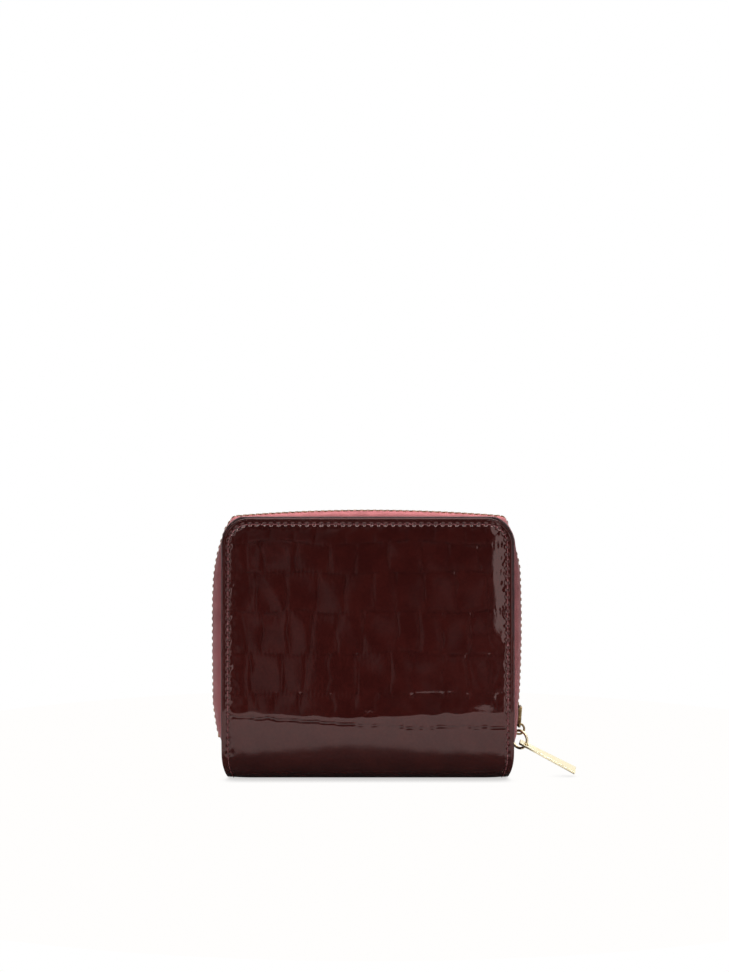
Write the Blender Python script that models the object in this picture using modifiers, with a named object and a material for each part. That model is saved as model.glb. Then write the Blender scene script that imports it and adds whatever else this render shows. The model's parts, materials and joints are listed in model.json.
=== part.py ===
"""Compact zip-around wallet, standing on its spine: a functional model of every piece.

Metres, +Z up. The origin is in the middle of the flat foot of the spine. The front cover faces -Y.
The zip runs up the left side, over the top and down the right side, where its slider rests. Both
covers turn about the bend of the spine leather. All sizes in the source are millimetres.
"""

import math

import bmesh
import bpy
from mathutils import Matrix, Vector

MM = 0.001

# ---- outside ----
COVER_HALF_WIDTH = 55.0
COVER_TOP = 99.0  # height of the cover's top edge
COVER_FOOT = 14.0  # height where the covers end and the spine leather begins
COVER_CORNER = 11.0  # radius of the two top corners
CREASE_HEIGHT = 25.5  # where the stiff cover meets its soft foot
CREASE_HALF_DEPTH = 15.0
TOP_HALF_DEPTH = 11.8
FOOT_FLAT = 3.4  # half width of the flat that the wallet stands on
FOOT_RADIUS = 10.5  # of the spine's two lower edges
FOOT_NARROWING = 1.6  # how much shorter each end of the spine is at the bottom

# ---- inside each cover ----
STIFFENER_INSET = 6.0
LINING_INSET = 1.8
BILL_POCKET = (17.0, 90.0, 50.0)  # foot, top and half width
CARD_SLOT_FOOT = 20.0
CARD_SLOT_TOPS = (82.0, 68.0, 54.0)
CARD_SLOT_HALF_WIDTH = 46.0
POCKET_CORNER = 2.5

# ---- seam ----
SEAM_INSET = 2.4
THREAD_RADIUS = 0.22

# ---- sheet thicknesses ----
LEATHER = 1.2
BOARD = 0.8
LINING = 0.6
POCKET = 0.6
TAPE = 0.5
GAP = 0.3  # between neighbouring pieces

# ---- zip chain, seen from the front ----
SIDE_RADIUS = 450.0  # the right side is one arc, so that the slider can follow it
SIDE_REACH = 57.6  # the arc's furthest point from the middle
SIDE_MIDDLE = 58.0  # the height of that point
SIDE_HEAD = 80.0  # height where the arc ends
CHAIN_FOOT = 14.6
RIGHT_SHOULDER = ((55.2, 88.0), (53.4, 93.6))
LEFT_SIDE = ((56.8, CHAIN_FOOT), (58.7, 26.0), (59.1, 36.0), (59.1, 70.0), (57.6, 84.0), (54.6, 94.4))
CORNER = (51.8, 99.1)  # where the chain turns from each side to the top
CORNER_RADIUS = 3.0
TOP_APEX = 101.3
FIRST_TOOTH = 3.2  # from the left foot of the chain
TOOTH_PITCH = 2.5
TOOTH_WIDTH = 0.8
TOOTH_THICK = 1.4
TOOTH_REACH = 1.0  # how far a tooth passes the middle of the chain
RAIL_INNER = 1.6  # the cord under a row of teeth lies between these distances from the middle
RAIL_OUTER = 3.0
TAPE_EDGE = RAIL_OUTER + GAP
TAPE_FLAT = 5.2  # the tape is flat this far from the middle, where the slider's lips pass
TAPE_BULGE = 0.3  # how far the tape bows out between the cover and its flat
TAPE_BEND = 0.72  # where that bow is, as a share of the way from the cover's edge to the chain
TAPE_SEWN = 4.6  # how far the tape reaches in under the cover
TAPE_TURN = 0.4  # how far inside the cover's edge it turns outward

STOP_THICK = 1.5
STOP_INNER = 2.3  # from the middle to a top stop, and the half width of the bottom stop
TOP_STOP_HEIGHTS = (16.6, 18.3)
BOTTOM_STOP_HEIGHTS = (15.0, 17.2)

# ---- coin pocket ----
COIN_HALF_WIDTH = 42.0
COIN_HALF_DEPTH = 2.5
COIN_WALL = 0.6
COIN_TOP = 80.0
GUSSET_FOLD = 3.2

# ---- slider and pull ----
SLIDER_HEIGHT = 22.8
SLIDER_LENGTH = 8.2
SLIDER_HALF_WIDTH = 3.9
CHANNEL_HALF = 1.2
PLATE = 0.8
BAIL_RADIUS = 2.0
BAIL_WIRE = 0.4
BAIL_PLACE = (1.75, -4.75)  # out from the chain, and along it from the slider's middle
RING_RADIUS = 3.4
RING_WIRE = 0.55
RING_HANG = 0.65  # how far under the bail's middle the ring's wire hangs
RING_LEAN = math.radians(4.0)
RING_TWIST = math.radians(50.0)
HOLD_ANGLE = math.radians(127.0)  # from the ring's top round to the hole of the tab
TAB_SLOPE = math.radians(27.5)
TAB_LENGTH = 21.3  # from the hole to the tip
TAB_ROOT = 2.7  # from the hole to the root
TAB_ROOT_HALF = 1.45
TAB_TIP_HALF = 2.2
TAB_THICK = 1.0
TAB_HOLE = 0.95

FRONT = -1
BACK = 1

FOOT_SLOPE = math.acos(
    FOOT_RADIUS / math.hypot(CREASE_HALF_DEPTH - FOOT_FLAT, CREASE_HEIGHT - FOOT_RADIUS)
) - math.atan2(CREASE_HEIGHT - FOOT_RADIUS, CREASE_HALF_DEPTH - FOOT_FLAT)


def half_depth(height):
    """How far the cover's outer face is from the middle plane at a height."""
    if height < CREASE_HEIGHT:
        return CREASE_HALF_DEPTH - (CREASE_HEIGHT - height) * math.tan(FOOT_SLOPE)
    share = (height - CREASE_HEIGHT) / (COVER_TOP - CREASE_HEIGHT)
    return CREASE_HALF_DEPTH + share * (TOP_HALF_DEPTH - CREASE_HALF_DEPTH)


def side_arc(height):
    """The chain's distance from the middle at a height on the right side's arc."""
    drop = height - SIDE_MIDDLE
    return SIDE_REACH - SIDE_RADIUS + math.sqrt(SIDE_RADIUS**2 - drop**2)


# ---- helpers ----


def material(name, colour, roughness, metallic=0.0):
    """A plain Principled material."""
    made = bpy.data.materials.new(name)
    made.use_nodes = True
    shader = made.node_tree.nodes["Principled BSDF"]
    shader.inputs["Base Color"].default_value = (*colour, 1.0)
    shader.inputs["Roughness"].default_value = roughness
    shader.inputs["Metallic"].default_value = metallic
    return made


def empty(name, place, parent=None):
    """An empty on a joint's axis, which carries what the joint moves."""
    made = bpy.data.objects.new(name, None)
    COLLECTION.objects.link(made)
    made.location = Vector(place) * MM
    if parent:
        bpy.context.view_layer.update()
        made.parent = parent
        made.matrix_parent_inverse = parent.matrix_world.inverted()
    bpy.context.view_layer.update()
    return made


def carry(obj, parent):
    """Parents obj to an empty without moving it."""
    obj.parent = parent
    obj.matrix_parent_inverse = parent.matrix_world.inverted()


def add_mesh(name, points, faces, made_of, parent):
    """A mesh object from points in millimetres."""
    mesh = bpy.data.meshes.new(name)
    mesh.from_pydata([Vector(point) * MM for point in points], [], faces)
    mesh.materials.append(made_of)
    work = bmesh.new()
    work.from_mesh(mesh)
    bmesh.ops.recalc_face_normals(work, faces=work.faces)
    work.to_mesh(mesh)
    work.free()
    obj = bpy.data.objects.new(name, mesh)
    COLLECTION.objects.link(obj)
    carry(obj, parent)
    return obj


def claim(name, made_of, parent):
    """Takes the primitive that was just added into the wallet's collection."""
    obj = bpy.context.object
    obj.name = name
    for holder in list(obj.users_collection):
        holder.objects.unlink(obj)
    COLLECTION.objects.link(obj)
    obj.data.materials.append(made_of)
    carry(obj, parent)
    return obj


def box(name, low, high, made_of, parent, bevel=0.0):
    """A block between two corners, with an optional bevel."""
    low, high = Vector(low), Vector(high)
    bpy.ops.mesh.primitive_cube_add(size=1, location=(low + high) / 2 * MM)
    obj = claim(name, made_of, parent)
    obj.data.transform(Matrix.Diagonal((*((high - low) * MM), 1)))
    if bevel:
        edges = obj.modifiers.new("edges", "BEVEL")
        edges.width = bevel * MM
        edges.segments = 2
    return obj


def thicken(obj, thickness):
    """Gives an open surface a thickness, half to each side."""
    walls = obj.modifiers.new("thickness", "SOLIDIFY")
    walls.thickness = thickness * MM
    walls.offset = 0.0
    walls.use_even_offset = True


def combine(base, other, operation):
    """Joins or cuts base with another object, which is used up."""
    joint = base.modifiers.new("combine", "BOOLEAN")
    joint.operation = operation
    joint.object = other
    joint.solver = "EXACT"
    bpy.context.view_layer.update()
    graph = bpy.context.evaluated_depsgraph_get()
    mesh = bpy.data.meshes.new_from_object(base.evaluated_get(graph))
    base.modifiers.clear()
    base.data = mesh
    bpy.data.objects.remove(other)


def quads(columns, rows):
    """Faces of a grid of points that is stored column by column."""
    return [
        (rows * i + j, rows * i + j + 1, rows * (i + 1) + j + 1, rows * (i + 1) + j)
        for i in range(columns - 1)
        for j in range(rows - 1)
    ]


# ---- covers, stiffeners, linings and pockets ----


def rounded_rows(foot, top, half_width, corner, steps):
    """(height, half width) from the foot up, with the top corners rounded."""
    heights = [h for h in (foot, CREASE_HEIGHT) if foot <= h < top - corner]
    rows = [(h, half_width) for h in heights]
    for i in range(steps + 1):
        angle = math.pi / 2 * i / steps
        height = top - corner + corner * math.sin(angle)
        rows.append((height, half_width - corner + corner * math.cos(angle)))
    return rows


def leaf(name, side, rows, depth, thickness, made_of, parent):
    """A sheet that follows the cover, its middle at a depth under the cover's outer face."""
    points = []
    for height, half_width in rows:
        y = side * (half_depth(height) - depth)
        points += [(-half_width, y, height), (half_width, y, height)]
    obj = add_mesh(name, points, quads(len(rows), 2), made_of, parent)
    thicken(obj, thickness)


def cover_layers(word, side, parent):
    """The leather, stiffener, lining and pockets of one half of the wallet."""
    outline = rounded_rows(COVER_FOOT, COVER_TOP, COVER_HALF_WIDTH, COVER_CORNER, 8)
    leaf(f"{word}_cover", side, outline, LEATHER / 2, LEATHER, PATENT, parent)

    inset = STIFFENER_INSET
    depth = LEATHER + GAP + BOARD / 2
    outline = rounded_rows(
        CREASE_HEIGHT + 1, COVER_TOP - inset, COVER_HALF_WIDTH - inset, COVER_CORNER - inset, 5
    )
    leaf(f"{word}_stiffener", side, outline, depth, BOARD, FIBRE_BOARD, parent)

    inset = LINING_INSET
    depth += BOARD / 2 + GAP + LINING / 2
    outline = rounded_rows(
        COVER_FOOT, COVER_TOP - inset, COVER_HALF_WIDTH - inset, COVER_CORNER - inset, 7
    )
    leaf(f"{word}_lining", side, outline, depth, LINING, LINING_CLOTH, parent)

    depth += LINING / 2 + GAP + POCKET / 2
    outline = rounded_rows(*BILL_POCKET, POCKET_CORNER, 3)
    leaf(f"{word}_bill_pocket", side, outline, depth, POCKET, LINING_LEATHER, parent)

    for number, top in enumerate(CARD_SLOT_TOPS, start=1):
        depth += POCKET + GAP
        outline = rounded_rows(CARD_SLOT_FOOT, top, CARD_SLOT_HALF_WIDTH, POCKET_CORNER, 3)
        leaf(f"{word}_card_slot_{number}", side, outline, depth, POCKET, LINING_LEATHER, parent)


def stitching(word, side, parent):
    """The seam thread round the cover, which lies just off the leather."""
    inset = SEAM_INSET
    rows = rounded_rows(
        COVER_FOOT + 1, COVER_TOP - inset, COVER_HALF_WIDTH - inset, COVER_CORNER - inset, 6
    )
    route = [(-x, z) for z, x in rows] + [(x, z) for z, x in reversed(rows)]
    curve = bpy.data.curves.new(f"{word}_stitching", "CURVE")
    curve.dimensions = "3D"
    curve.bevel_depth = THREAD_RADIUS * MM
    curve.bevel_resolution = 0
    curve.use_fill_caps = True
    spline = curve.splines.new("POLY")
    spline.points.add(len(route) - 1)
    for point, (x, z) in zip(spline.points, route):
        y = side * (half_depth(z) + GAP + THREAD_RADIUS)
        point.co = (x * MM, y * MM, z * MM, 1.0)
    curve.materials.append(THREAD)
    obj = bpy.data.objects.new(f"{word}_stitching", curve)
    COLLECTION.objects.link(obj)
    carry(obj, parent)


# ---- spine ----


def spine_section(inset, steps=7):
    """Half of the spine's section from its foot up, as (half depth, height)."""
    points = [(FOOT_FLAT, inset)]
    for i in range(1, steps + 1):
        angle = -math.pi / 2 + (math.pi / 2 - FOOT_SLOPE) * i / steps
        radius = FOOT_RADIUS - inset
        points.append((FOOT_FLAT + radius * math.cos(angle), FOOT_RADIUS + radius * math.sin(angle)))
    head = COVER_FOOT - GAP
    points.append(
        (half_depth(head) - inset * math.cos(FOOT_SLOPE), head + inset * math.sin(FOOT_SLOPE))
    )
    return points


def spine(name, depth, thickness, half_width, made_of, parent):
    """A strip bent round the foot of the wallet, from one cover to the other."""
    half = spine_section(depth)
    section = [(-y, z) for y, z in reversed(half)] + half
    points = []
    for y, z in section:
        rise = min(1.0, max(0.0, z - depth) / FOOT_RADIUS)
        width = half_width - FOOT_NARROWING * (1 - rise) ** 2
        points += [(-width, y, z), (width, y, z)]
    obj = add_mesh(name, points, quads(len(section), 2), made_of, parent)
    thicken(obj, thickness)


def hinge_place(side):
    """The axis that a cover turns about when the spine's rounded edge is bent flat."""
    radius = CREASE_HALF_DEPTH - FOOT_FLAT
    return Vector((0, side * (FOOT_FLAT + radius * math.pi / 4), radius * (1 - math.pi / 4)))


# ---- zip chain and tape ----


def smooth(points, steps):
    """A Catmull-Rom curve through the points."""
    points = [Vector(point) for point in points]
    ends = [2 * points[0] - points[1], *points, 2 * points[-1] - points[-2]]
    made = []
    for a, b, c, d in zip(ends, ends[1:], ends[2:], ends[3:]):
        for i in range(steps):
            t = i / steps
            made.append(
                b
                + (c - a) * (t / 2)
                + (2 * a - 5 * b + 4 * c - d) * (t * t / 2)
                + (3 * b - a - 3 * c + d) * (t**3 / 2)
            )
    return made + [points[-1]]


def rounded_corner(before, corner, after, radius, steps=8):
    """An arc that rounds the corner of two straight lines."""
    arrive = (corner - before).normalized()
    leave = (after - corner).normalized()
    turn = arrive.angle(leave)
    cut = radius * math.tan(turn / 2)
    start = corner - arrive * cut
    centre = start + (leave - arrive * arrive.dot(leave)).normalized() * radius
    spoke = start - centre
    points = []
    for i in range(steps + 1):
        angle = turn * i / steps
        points.append(centre + spoke * math.cos(angle) + arrive * radius * math.sin(angle))
    return points


def chain_line():
    """The chain's middle line as (x, z), from the left foot over the top to the right foot."""
    left = [Vector((-p.x, p.y)) for p in smooth(LEFT_SIDE, 10)]
    heights = [CHAIN_FOOT + (SIDE_HEAD - CHAIN_FOOT) * i / 14 for i in range(15)]
    arc = [(side_arc(height), height) for height in heights]
    shoulder = smooth([*arc[-2:], *RIGHT_SHOULDER], 6)[6:]
    right = [Vector(point) for point in arc[:-1]] + shoulder
    corner_x, corner_z = CORNER
    steps = 16
    top = []
    for i in range(-steps, steps + 1):
        share = i / steps
        top.append(Vector((share * corner_x, TOP_APEX - (TOP_APEX - corner_z) * share * share)))
    left_turn = rounded_corner(left[-1], top[0], top[1], CORNER_RADIUS)
    right_turn = rounded_corner(top[-2], top[-1], right[-1], CORNER_RADIUS)
    return left + left_turn + top[2:-2] + right_turn + right[::-1]


def line_length(line):
    return sum((b - a).length for a, b in zip(line, line[1:]))


def stations(line, marks):
    """Points on the line at rising distances along it."""
    lengths = [0.0]
    for a, b in zip(line, line[1:]):
        lengths.append(lengths[-1] + (b - a).length)
    found = []
    i = 0
    for mark in marks:
        while i < len(line) - 2 and lengths[i + 1] < mark:
            i += 1
        share = (mark - lengths[i]) / (lengths[i + 1] - lengths[i])
        found.append(line[i].lerp(line[i + 1], share))
    return found


def teeth(word, side, start, line, parent):
    """One row of teeth on its cord, from the left foot to the middle of the slider."""
    end = line_length(line) - (SLIDER_HEIGHT - CHAIN_FOOT)
    count = int((end - start - TOOTH_WIDTH) / TOOTH_PITCH) + 1
    marks = []
    for i in range(count):
        at = start + i * TOOTH_PITCH
        marks += [at, at + TOOTH_WIDTH]
    places = stations(line, marks)
    points = []
    for p in places:
        points += [(p.x, side * RAIL_OUTER, p.y), (p.x, side * RAIL_INNER, p.y)]
    faces = quads(len(places), 2)
    for i in range(0, len(places), 2):
        tip = len(points)
        points += [(p.x, -side * TOOTH_REACH, p.y) for p in places[i : i + 2]]
        faces.append((2 * i + 1, tip, tip + 1, 2 * i + 3))
    obj = add_mesh(f"{word}_zip_teeth", points, faces, BRASS, parent)
    thicken(obj, TOOTH_THICK)


def edge_beside(x, z, inset):
    """The point of the cover's outline, moved in by inset, that faces a point of the chain."""
    centre_x = COVER_HALF_WIDTH - COVER_CORNER
    centre_z = COVER_TOP - COVER_CORNER
    sign = math.copysign(1, x)
    if z <= centre_z:
        return sign * (COVER_HALF_WIDTH - inset), z
    if abs(x) <= centre_x:
        return x, COVER_TOP - inset
    away = Vector((abs(x) - centre_x, z - centre_z)).normalized() * (COVER_CORNER - inset)
    return sign * (centre_x + away.x), centre_z + away.y


def tape(word, side, line, parent):
    """The cloth strip from under the edge of a cover to its row of teeth."""
    length = line_length(line)
    columns = 66
    places = stations(line, [length * i / (columns - 1) for i in range(columns)])
    depth = LEATHER + GAP + TAPE / 2
    middle = Vector((0, COVER_TOP / 2))
    points = []
    for p in places:
        for inset in (TAPE_SEWN, TAPE_TURN):
            x, z = edge_beside(p.x, p.y, inset)
            points.append((x, side * (half_depth(z) - depth), z))
        edge_y = half_depth(z) - depth
        bulge = (p - middle).normalized() * TAPE_BULGE
        turn = Vector((x, z)).lerp(p, TAPE_BEND) + bulge
        points.append((turn.x, side * (edge_y + TAPE_FLAT) / 2, turn.y))
        points.append((p.x, side * TAPE_FLAT, p.y))
        points.append((p.x, side * TAPE_EDGE, p.y))
    obj = add_mesh(f"{word}_zip_tape", points, quads(columns, 5), TAPE_CLOTH, parent)
    thicken(obj, TAPE)


def zip_stops(front, back):
    """The clips at the ends of the zip: one on each tape by the slider, and one across both."""
    bevel = 0.2
    low, high = TOP_STOP_HEIGHTS
    x = side_arc((low + high) / 2)
    for word, side, parent in (("front", FRONT, front), ("back", BACK, back)):
        y = sorted((side * STOP_INNER, side * RAIL_OUTER))
        corners = (x - STOP_THICK / 2, y[0], low), (x + STOP_THICK / 2, y[1], high)
        box(f"{word}_zip_top_stop", *corners, BRASS, parent, bevel)
    low, high = BOTTOM_STOP_HEIGHTS
    x = -LEFT_SIDE[0][0] - 0.2
    corners = (x - STOP_THICK / 2, -STOP_INNER, low), (x + STOP_THICK / 2, STOP_INNER, high)
    box("zip_bottom_stop", *corners, BRASS, back, bevel)


# ---- coin pocket ----


def coin_pocket(parent):
    """The open-topped pocket that stands on the spine's lining, with folded ends."""
    foot = LEATHER + BOARD + LINING + 3 * GAP
    for word, side in (("front", FRONT), ("back", BACK)):
        y = sorted((side * COIN_HALF_DEPTH, side * (COIN_HALF_DEPTH + COIN_WALL)))
        low = (-COIN_HALF_WIDTH, y[0], foot)
        box(f"coin_pocket_{word}", low, (COIN_HALF_WIDTH, y[1], COIN_TOP), LINING_LEATHER, parent)
    edge = COIN_HALF_DEPTH - GAP
    low = (-COIN_HALF_WIDTH + 1, -edge, foot)
    high = (COIN_HALF_WIDTH - 1, edge, foot + COIN_WALL)
    box("coin_pocket_base", low, high, LINING_LEATHER, parent)
    for word, side in (("left", -1), ("right", 1)):
        outer = side * (COIN_HALF_WIDTH - 0.8)
        inner = outer - side * GUSSET_FOLD
        points = []
        for z in (foot + COIN_WALL + GAP, COIN_TOP - 3):
            points += [(outer, -edge + 0.3, z), (inner, 0, z), (outer, edge - 0.3, z)]
        gusset = add_mesh(f"coin_pocket_{word}_gusset", points, quads(2, 3), LINING_CLOTH, parent)
        thicken(gusset, 0.4)


# ---- slider and pull ----


def slider_frame():
    """The slider's own axes in the world: X out from the chain, Z up along it."""
    lean = math.asin((SIDE_MIDDLE - SLIDER_HEIGHT) / SIDE_RADIUS)
    place = Vector((side_arc(SLIDER_HEIGHT), 0, SLIDER_HEIGHT))
    return Matrix.Translation(place) @ Matrix.Rotation(lean, 4, "Y")


def scaled(frame):
    """A placing matrix in millimetres, turned into one in metres."""
    made = frame.copy()
    made.translation = frame.translation * MM
    return made


def slider(frame, parent):
    """Two plates with inturned lips, joined by a wedge, and the bail that holds the ring."""
    half = SLIDER_LENGTH / 2
    wide, narrow = SLIDER_HALF_WIDTH, SLIDER_HALF_WIDTH - 0.5
    half_outline = [(1.6, -half), (wide, -half + 1.6), (wide, -0.2), (narrow, 1.2), (narrow, half)]
    outline = half_outline + [(-y, z) for y, z in reversed(half_outline)]
    body = None
    for inner in (CHANNEL_HALF, -CHANNEL_HALF - PLATE):
        points = [(x, y, z) for x in (inner, inner + PLATE) for y, z in outline]
        plate = add_mesh("plate", points, prism_faces(len(outline)), GOLD, parent)
        if body:
            combine(body, plate, "UNION")
        else:
            body = plate
    reach = CHANNEL_HALF + PLATE / 2
    wedge = [(0.0, -half + 0.3), (0.9, -half + 1.6), (0.0, -0.4), (-0.9, -half + 1.6)]
    points = [(x, y, z) for x in (-reach, reach) for y, z in wedge]
    combine(body, add_mesh("wedge", points, prism_faces(len(wedge)), GOLD, parent), "UNION")
    for y in (-narrow + 0.35, narrow - 0.35):
        for x in (-reach, CHANNEL_HALF - 0.45):
            low = (x, y - 0.25, -half + 1.4)
            high = (x + reach - CHANNEL_HALF + 0.45, y + 0.25, half - 0.1)
            combine(body, box("lip", low, high, GOLD, parent), "UNION")
    bpy.ops.mesh.primitive_torus_add(
        major_radius=BAIL_RADIUS * MM,
        minor_radius=BAIL_WIRE * MM,
        major_segments=24,
        minor_segments=8,
        location=(BAIL_PLACE[0] * MM, 0, BAIL_PLACE[1] * MM),
        rotation=(math.pi / 2, 0, 0),
    )
    combine(body, claim("bail", GOLD, parent), "UNION")
    body.name = "slider_body"
    body.data.transform(body.matrix_world)
    body.data.transform(scaled(frame))
    body.parent = None
    body.matrix_world = Matrix.Identity(4)
    carry(body, parent)


def prism_faces(count):
    """Faces of an outline of count points that is given twice, once for each end."""
    ring = range(count)
    sides = [(i, (i + 1) % count, count + (i + 1) % count, count + i) for i in ring]
    return [tuple(ring), tuple(count + i for i in reversed(ring)), *sides]


def ring_frame(bail):
    """The ring's own axes in the world: X across it, Z to its top, Y along its axis."""
    lean = Matrix.Rotation(-RING_LEAN, 4, "Y")
    twist = Matrix.Rotation(RING_TWIST - math.pi / 2, 4, "Z")
    drop = Matrix.Translation((0, 0, -RING_HANG - RING_RADIUS))
    return Matrix.Translation(bail) @ lean @ twist @ drop


def pull_ring(frame, parent):
    """A round wire ring, hanging in the bail."""
    bpy.ops.mesh.primitive_torus_add(
        major_radius=RING_RADIUS * MM,
        minor_radius=RING_WIRE * MM,
        major_segments=30,
        minor_segments=8,
    )
    ring = claim("pull_ring", GOLD, parent)
    ring.data.transform(scaled(frame) @ Matrix.Rotation(math.pi / 2, 4, "X"))
    ring.data.shade_smooth()


def tab_frame(ring):
    """The tab's own axes in the world: X from its hole to its tip, Z along the hole."""
    spoke = Vector((math.sin(HOLD_ANGLE), 0, math.cos(HOLD_ANGLE)))
    wire = Vector((math.cos(HOLD_ANGLE), 0, -math.sin(HOLD_ANGLE)))
    turn = ring.to_3x3()
    hole = ring @ (spoke * RING_RADIUS)
    along = Vector((math.cos(TAB_SLOPE), 0, -math.sin(TAB_SLOPE)))
    hole_axis = -(turn @ wire)
    across = hole_axis.cross(along).normalized()
    normal = along.cross(across)
    frame = Matrix((along, across, normal)).transposed().to_4x4()
    frame.translation = hole
    return frame


def pull_tab(frame, parent):
    """The long bar, narrow at its hole and wide at its tip."""
    outline = [(-TAB_ROOT, -TAB_ROOT_HALF), (-TAB_ROOT, TAB_ROOT_HALF), (1.6, TAB_ROOT_HALF),
               (TAB_LENGTH, TAB_TIP_HALF), (TAB_LENGTH, -TAB_TIP_HALF), (1.6, -TAB_ROOT_HALF)]
    points = [(x, y, z) for z in (-TAB_THICK / 2, TAB_THICK / 2) for x, y in outline]
    bar = add_mesh("pull_tab", points, prism_faces(len(outline)), GOLD, parent)
    bpy.ops.mesh.primitive_cylinder_add(
        vertices=20, radius=TAB_HOLE * MM, depth=3 * TAB_THICK * MM, location=(0, 0, 0)
    )
    combine(bar, claim("hole", GOLD, parent), "DIFFERENCE")
    bar.data.transform(bar.matrix_world)
    bar.data.transform(scaled(frame))
    bar.parent = None
    bar.matrix_world = Matrix.Identity(4)
    carry(bar, parent)


def main():
    spine_body = empty("spine_body", (0, 0, 0))
    front = empty("front_half", hinge_place(FRONT), spine_body)
    back = empty("back_half", hinge_place(BACK), spine_body)

    spine("spine_leather", LEATHER / 2, LEATHER, COVER_HALF_WIDTH, PATENT, spine_body)
    lining_depth = LEATHER + BOARD + 2 * GAP + LINING / 2
    lining_half_width = COVER_HALF_WIDTH - LINING_INSET
    spine("spine_lining", lining_depth, LINING, lining_half_width, LINING_CLOTH, spine_body)
    coin_pocket(spine_body)

    line = chain_line()
    for word, side, first_tooth, parent in (
        ("front", FRONT, FIRST_TOOTH, front),
        ("back", BACK, FIRST_TOOTH + TOOTH_PITCH / 2, back),
    ):
        cover_layers(word, side, parent)
        stitching(word, side, parent)
        tape(word, side, line, parent)
        teeth(word, side, first_tooth, line, parent)
    zip_stops(front, back)

    frame = slider_frame()
    travel_axis = (SIDE_REACH - SIDE_RADIUS, 0, SIDE_MIDDLE)
    carriage = empty("zip_slider", travel_axis, back)
    slider(frame, carriage)
    bail = frame @ Vector((BAIL_PLACE[0], 0, BAIL_PLACE[1]))
    ring = ring_frame(bail)
    ring_swing = empty("ring_swing", bail, carriage)
    pull_ring(ring, ring_swing)
    tab = tab_frame(ring)
    tab_swing = empty("tab_swing", tab.translation, ring_swing)
    pull_tab(tab, tab_swing)


for old in list(bpy.data.objects):
    bpy.data.objects.remove(old)
COLLECTION = bpy.data.collections.new("zip_wallet")
bpy.context.scene.collection.children.link(COLLECTION)

PATENT = material("patent_leather", (0.045, 0.008, 0.009), 0.12)
THREAD = material("seam_thread", (0.2, 0.03, 0.045), 0.6)
FIBRE_BOARD = material("fibre_board", (0.36, 0.27, 0.19), 0.85)
LINING_CLOTH = material("lining_cloth", (0.16, 0.035, 0.045), 0.8)
LINING_LEATHER = material("lining_leather", (0.09, 0.016, 0.02), 0.5)
TAPE_CLOTH = material("zip_tape", (0.23, 0.06, 0.075), 0.9)
BRASS = material("antique_brass", (0.33, 0.2, 0.1), 0.35, 1.0)
GOLD = material("pale_gold", (0.83, 0.7, 0.42), 0.2, 1.0)

main()
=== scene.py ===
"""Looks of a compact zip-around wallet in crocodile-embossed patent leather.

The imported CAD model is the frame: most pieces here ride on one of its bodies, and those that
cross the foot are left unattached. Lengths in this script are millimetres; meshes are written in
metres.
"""

import json
import math
import bmesh
import bpy
import numpy as np
from mathutils import Matrix, Vector

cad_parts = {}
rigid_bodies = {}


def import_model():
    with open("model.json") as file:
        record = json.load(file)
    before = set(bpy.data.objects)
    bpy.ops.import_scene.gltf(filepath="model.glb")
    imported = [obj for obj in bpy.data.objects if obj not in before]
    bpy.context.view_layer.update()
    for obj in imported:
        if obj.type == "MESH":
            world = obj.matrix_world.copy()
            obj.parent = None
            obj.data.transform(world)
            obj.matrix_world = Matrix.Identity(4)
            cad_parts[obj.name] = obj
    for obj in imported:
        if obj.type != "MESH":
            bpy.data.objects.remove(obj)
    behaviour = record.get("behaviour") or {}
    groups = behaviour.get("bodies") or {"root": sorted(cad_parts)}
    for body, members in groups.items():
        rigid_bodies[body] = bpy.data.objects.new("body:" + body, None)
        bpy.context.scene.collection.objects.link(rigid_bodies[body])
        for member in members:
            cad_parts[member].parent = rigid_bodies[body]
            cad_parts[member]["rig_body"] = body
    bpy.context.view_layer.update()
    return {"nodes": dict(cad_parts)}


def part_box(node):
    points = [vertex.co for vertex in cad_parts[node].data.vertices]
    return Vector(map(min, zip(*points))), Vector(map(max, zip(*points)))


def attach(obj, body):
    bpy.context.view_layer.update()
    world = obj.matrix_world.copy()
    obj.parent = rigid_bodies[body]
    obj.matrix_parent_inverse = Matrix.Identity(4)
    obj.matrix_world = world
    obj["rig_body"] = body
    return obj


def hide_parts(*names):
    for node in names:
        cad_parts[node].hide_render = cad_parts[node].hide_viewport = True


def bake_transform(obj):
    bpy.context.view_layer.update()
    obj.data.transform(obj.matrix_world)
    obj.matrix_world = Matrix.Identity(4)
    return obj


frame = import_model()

MM = 0.001
FRONT, BACK = -1, 1
WORDS = {FRONT: "front", BACK: "back"}
HALVES = {FRONT: "front_half", BACK: "back_half"}

# ---- the cover's section, from the middle of the foot up to the top edge ----
COVER_BOX = [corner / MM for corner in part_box("front_cover")]
HALF_WIDTH = COVER_BOX[1].x
COVER_TOP = 99.4
CORNER = 10.0
CREASE_HEIGHT = 25.5
CREASE_HALF_DEPTH = -COVER_BOX[0].y
TOP_HALF_DEPTH = 11.8
FOOT_FLAT = 3.4
FOOT_RADIUS = 10.5
FOOT_NARROWING = 1.6
CREASE_SOFTNESS = 1.3
COVER_SHIFT = -0.45
SECTION_STEP = 0.05

# ---- sheets ----
LEATHER = 1.2
BOARD = 0.8
LINING = 0.6
POCKET = 0.6
TAPE = 0.5
GAP = 0.3
EDGE_ROUNDING = 0.45  # in millimetres, and as a share of thin sheets' thickness
FINE_BORDER = 5.0
POCKET_CORNER = 3.0
POCKET_SEAM_DROP = 2.6
LINING_INSET = 1.8
BILL_POCKET = (17.0, 90.0, 50.0)
CARD_SLOT_FOOT = 20.0
CARD_SLOT_TOPS = (82.0, 68.0, 54.0)
CARD_SLOT_HALF_WIDTH = 46.0

# ---- embossed scales ----
SCALE_ROWS = (18.5, 33.4, 48.4, 64.1, 78.8, 90.0, 104.5)
SCALE_DOME = 0.055
SCALE_CUT = 0.085

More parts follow.
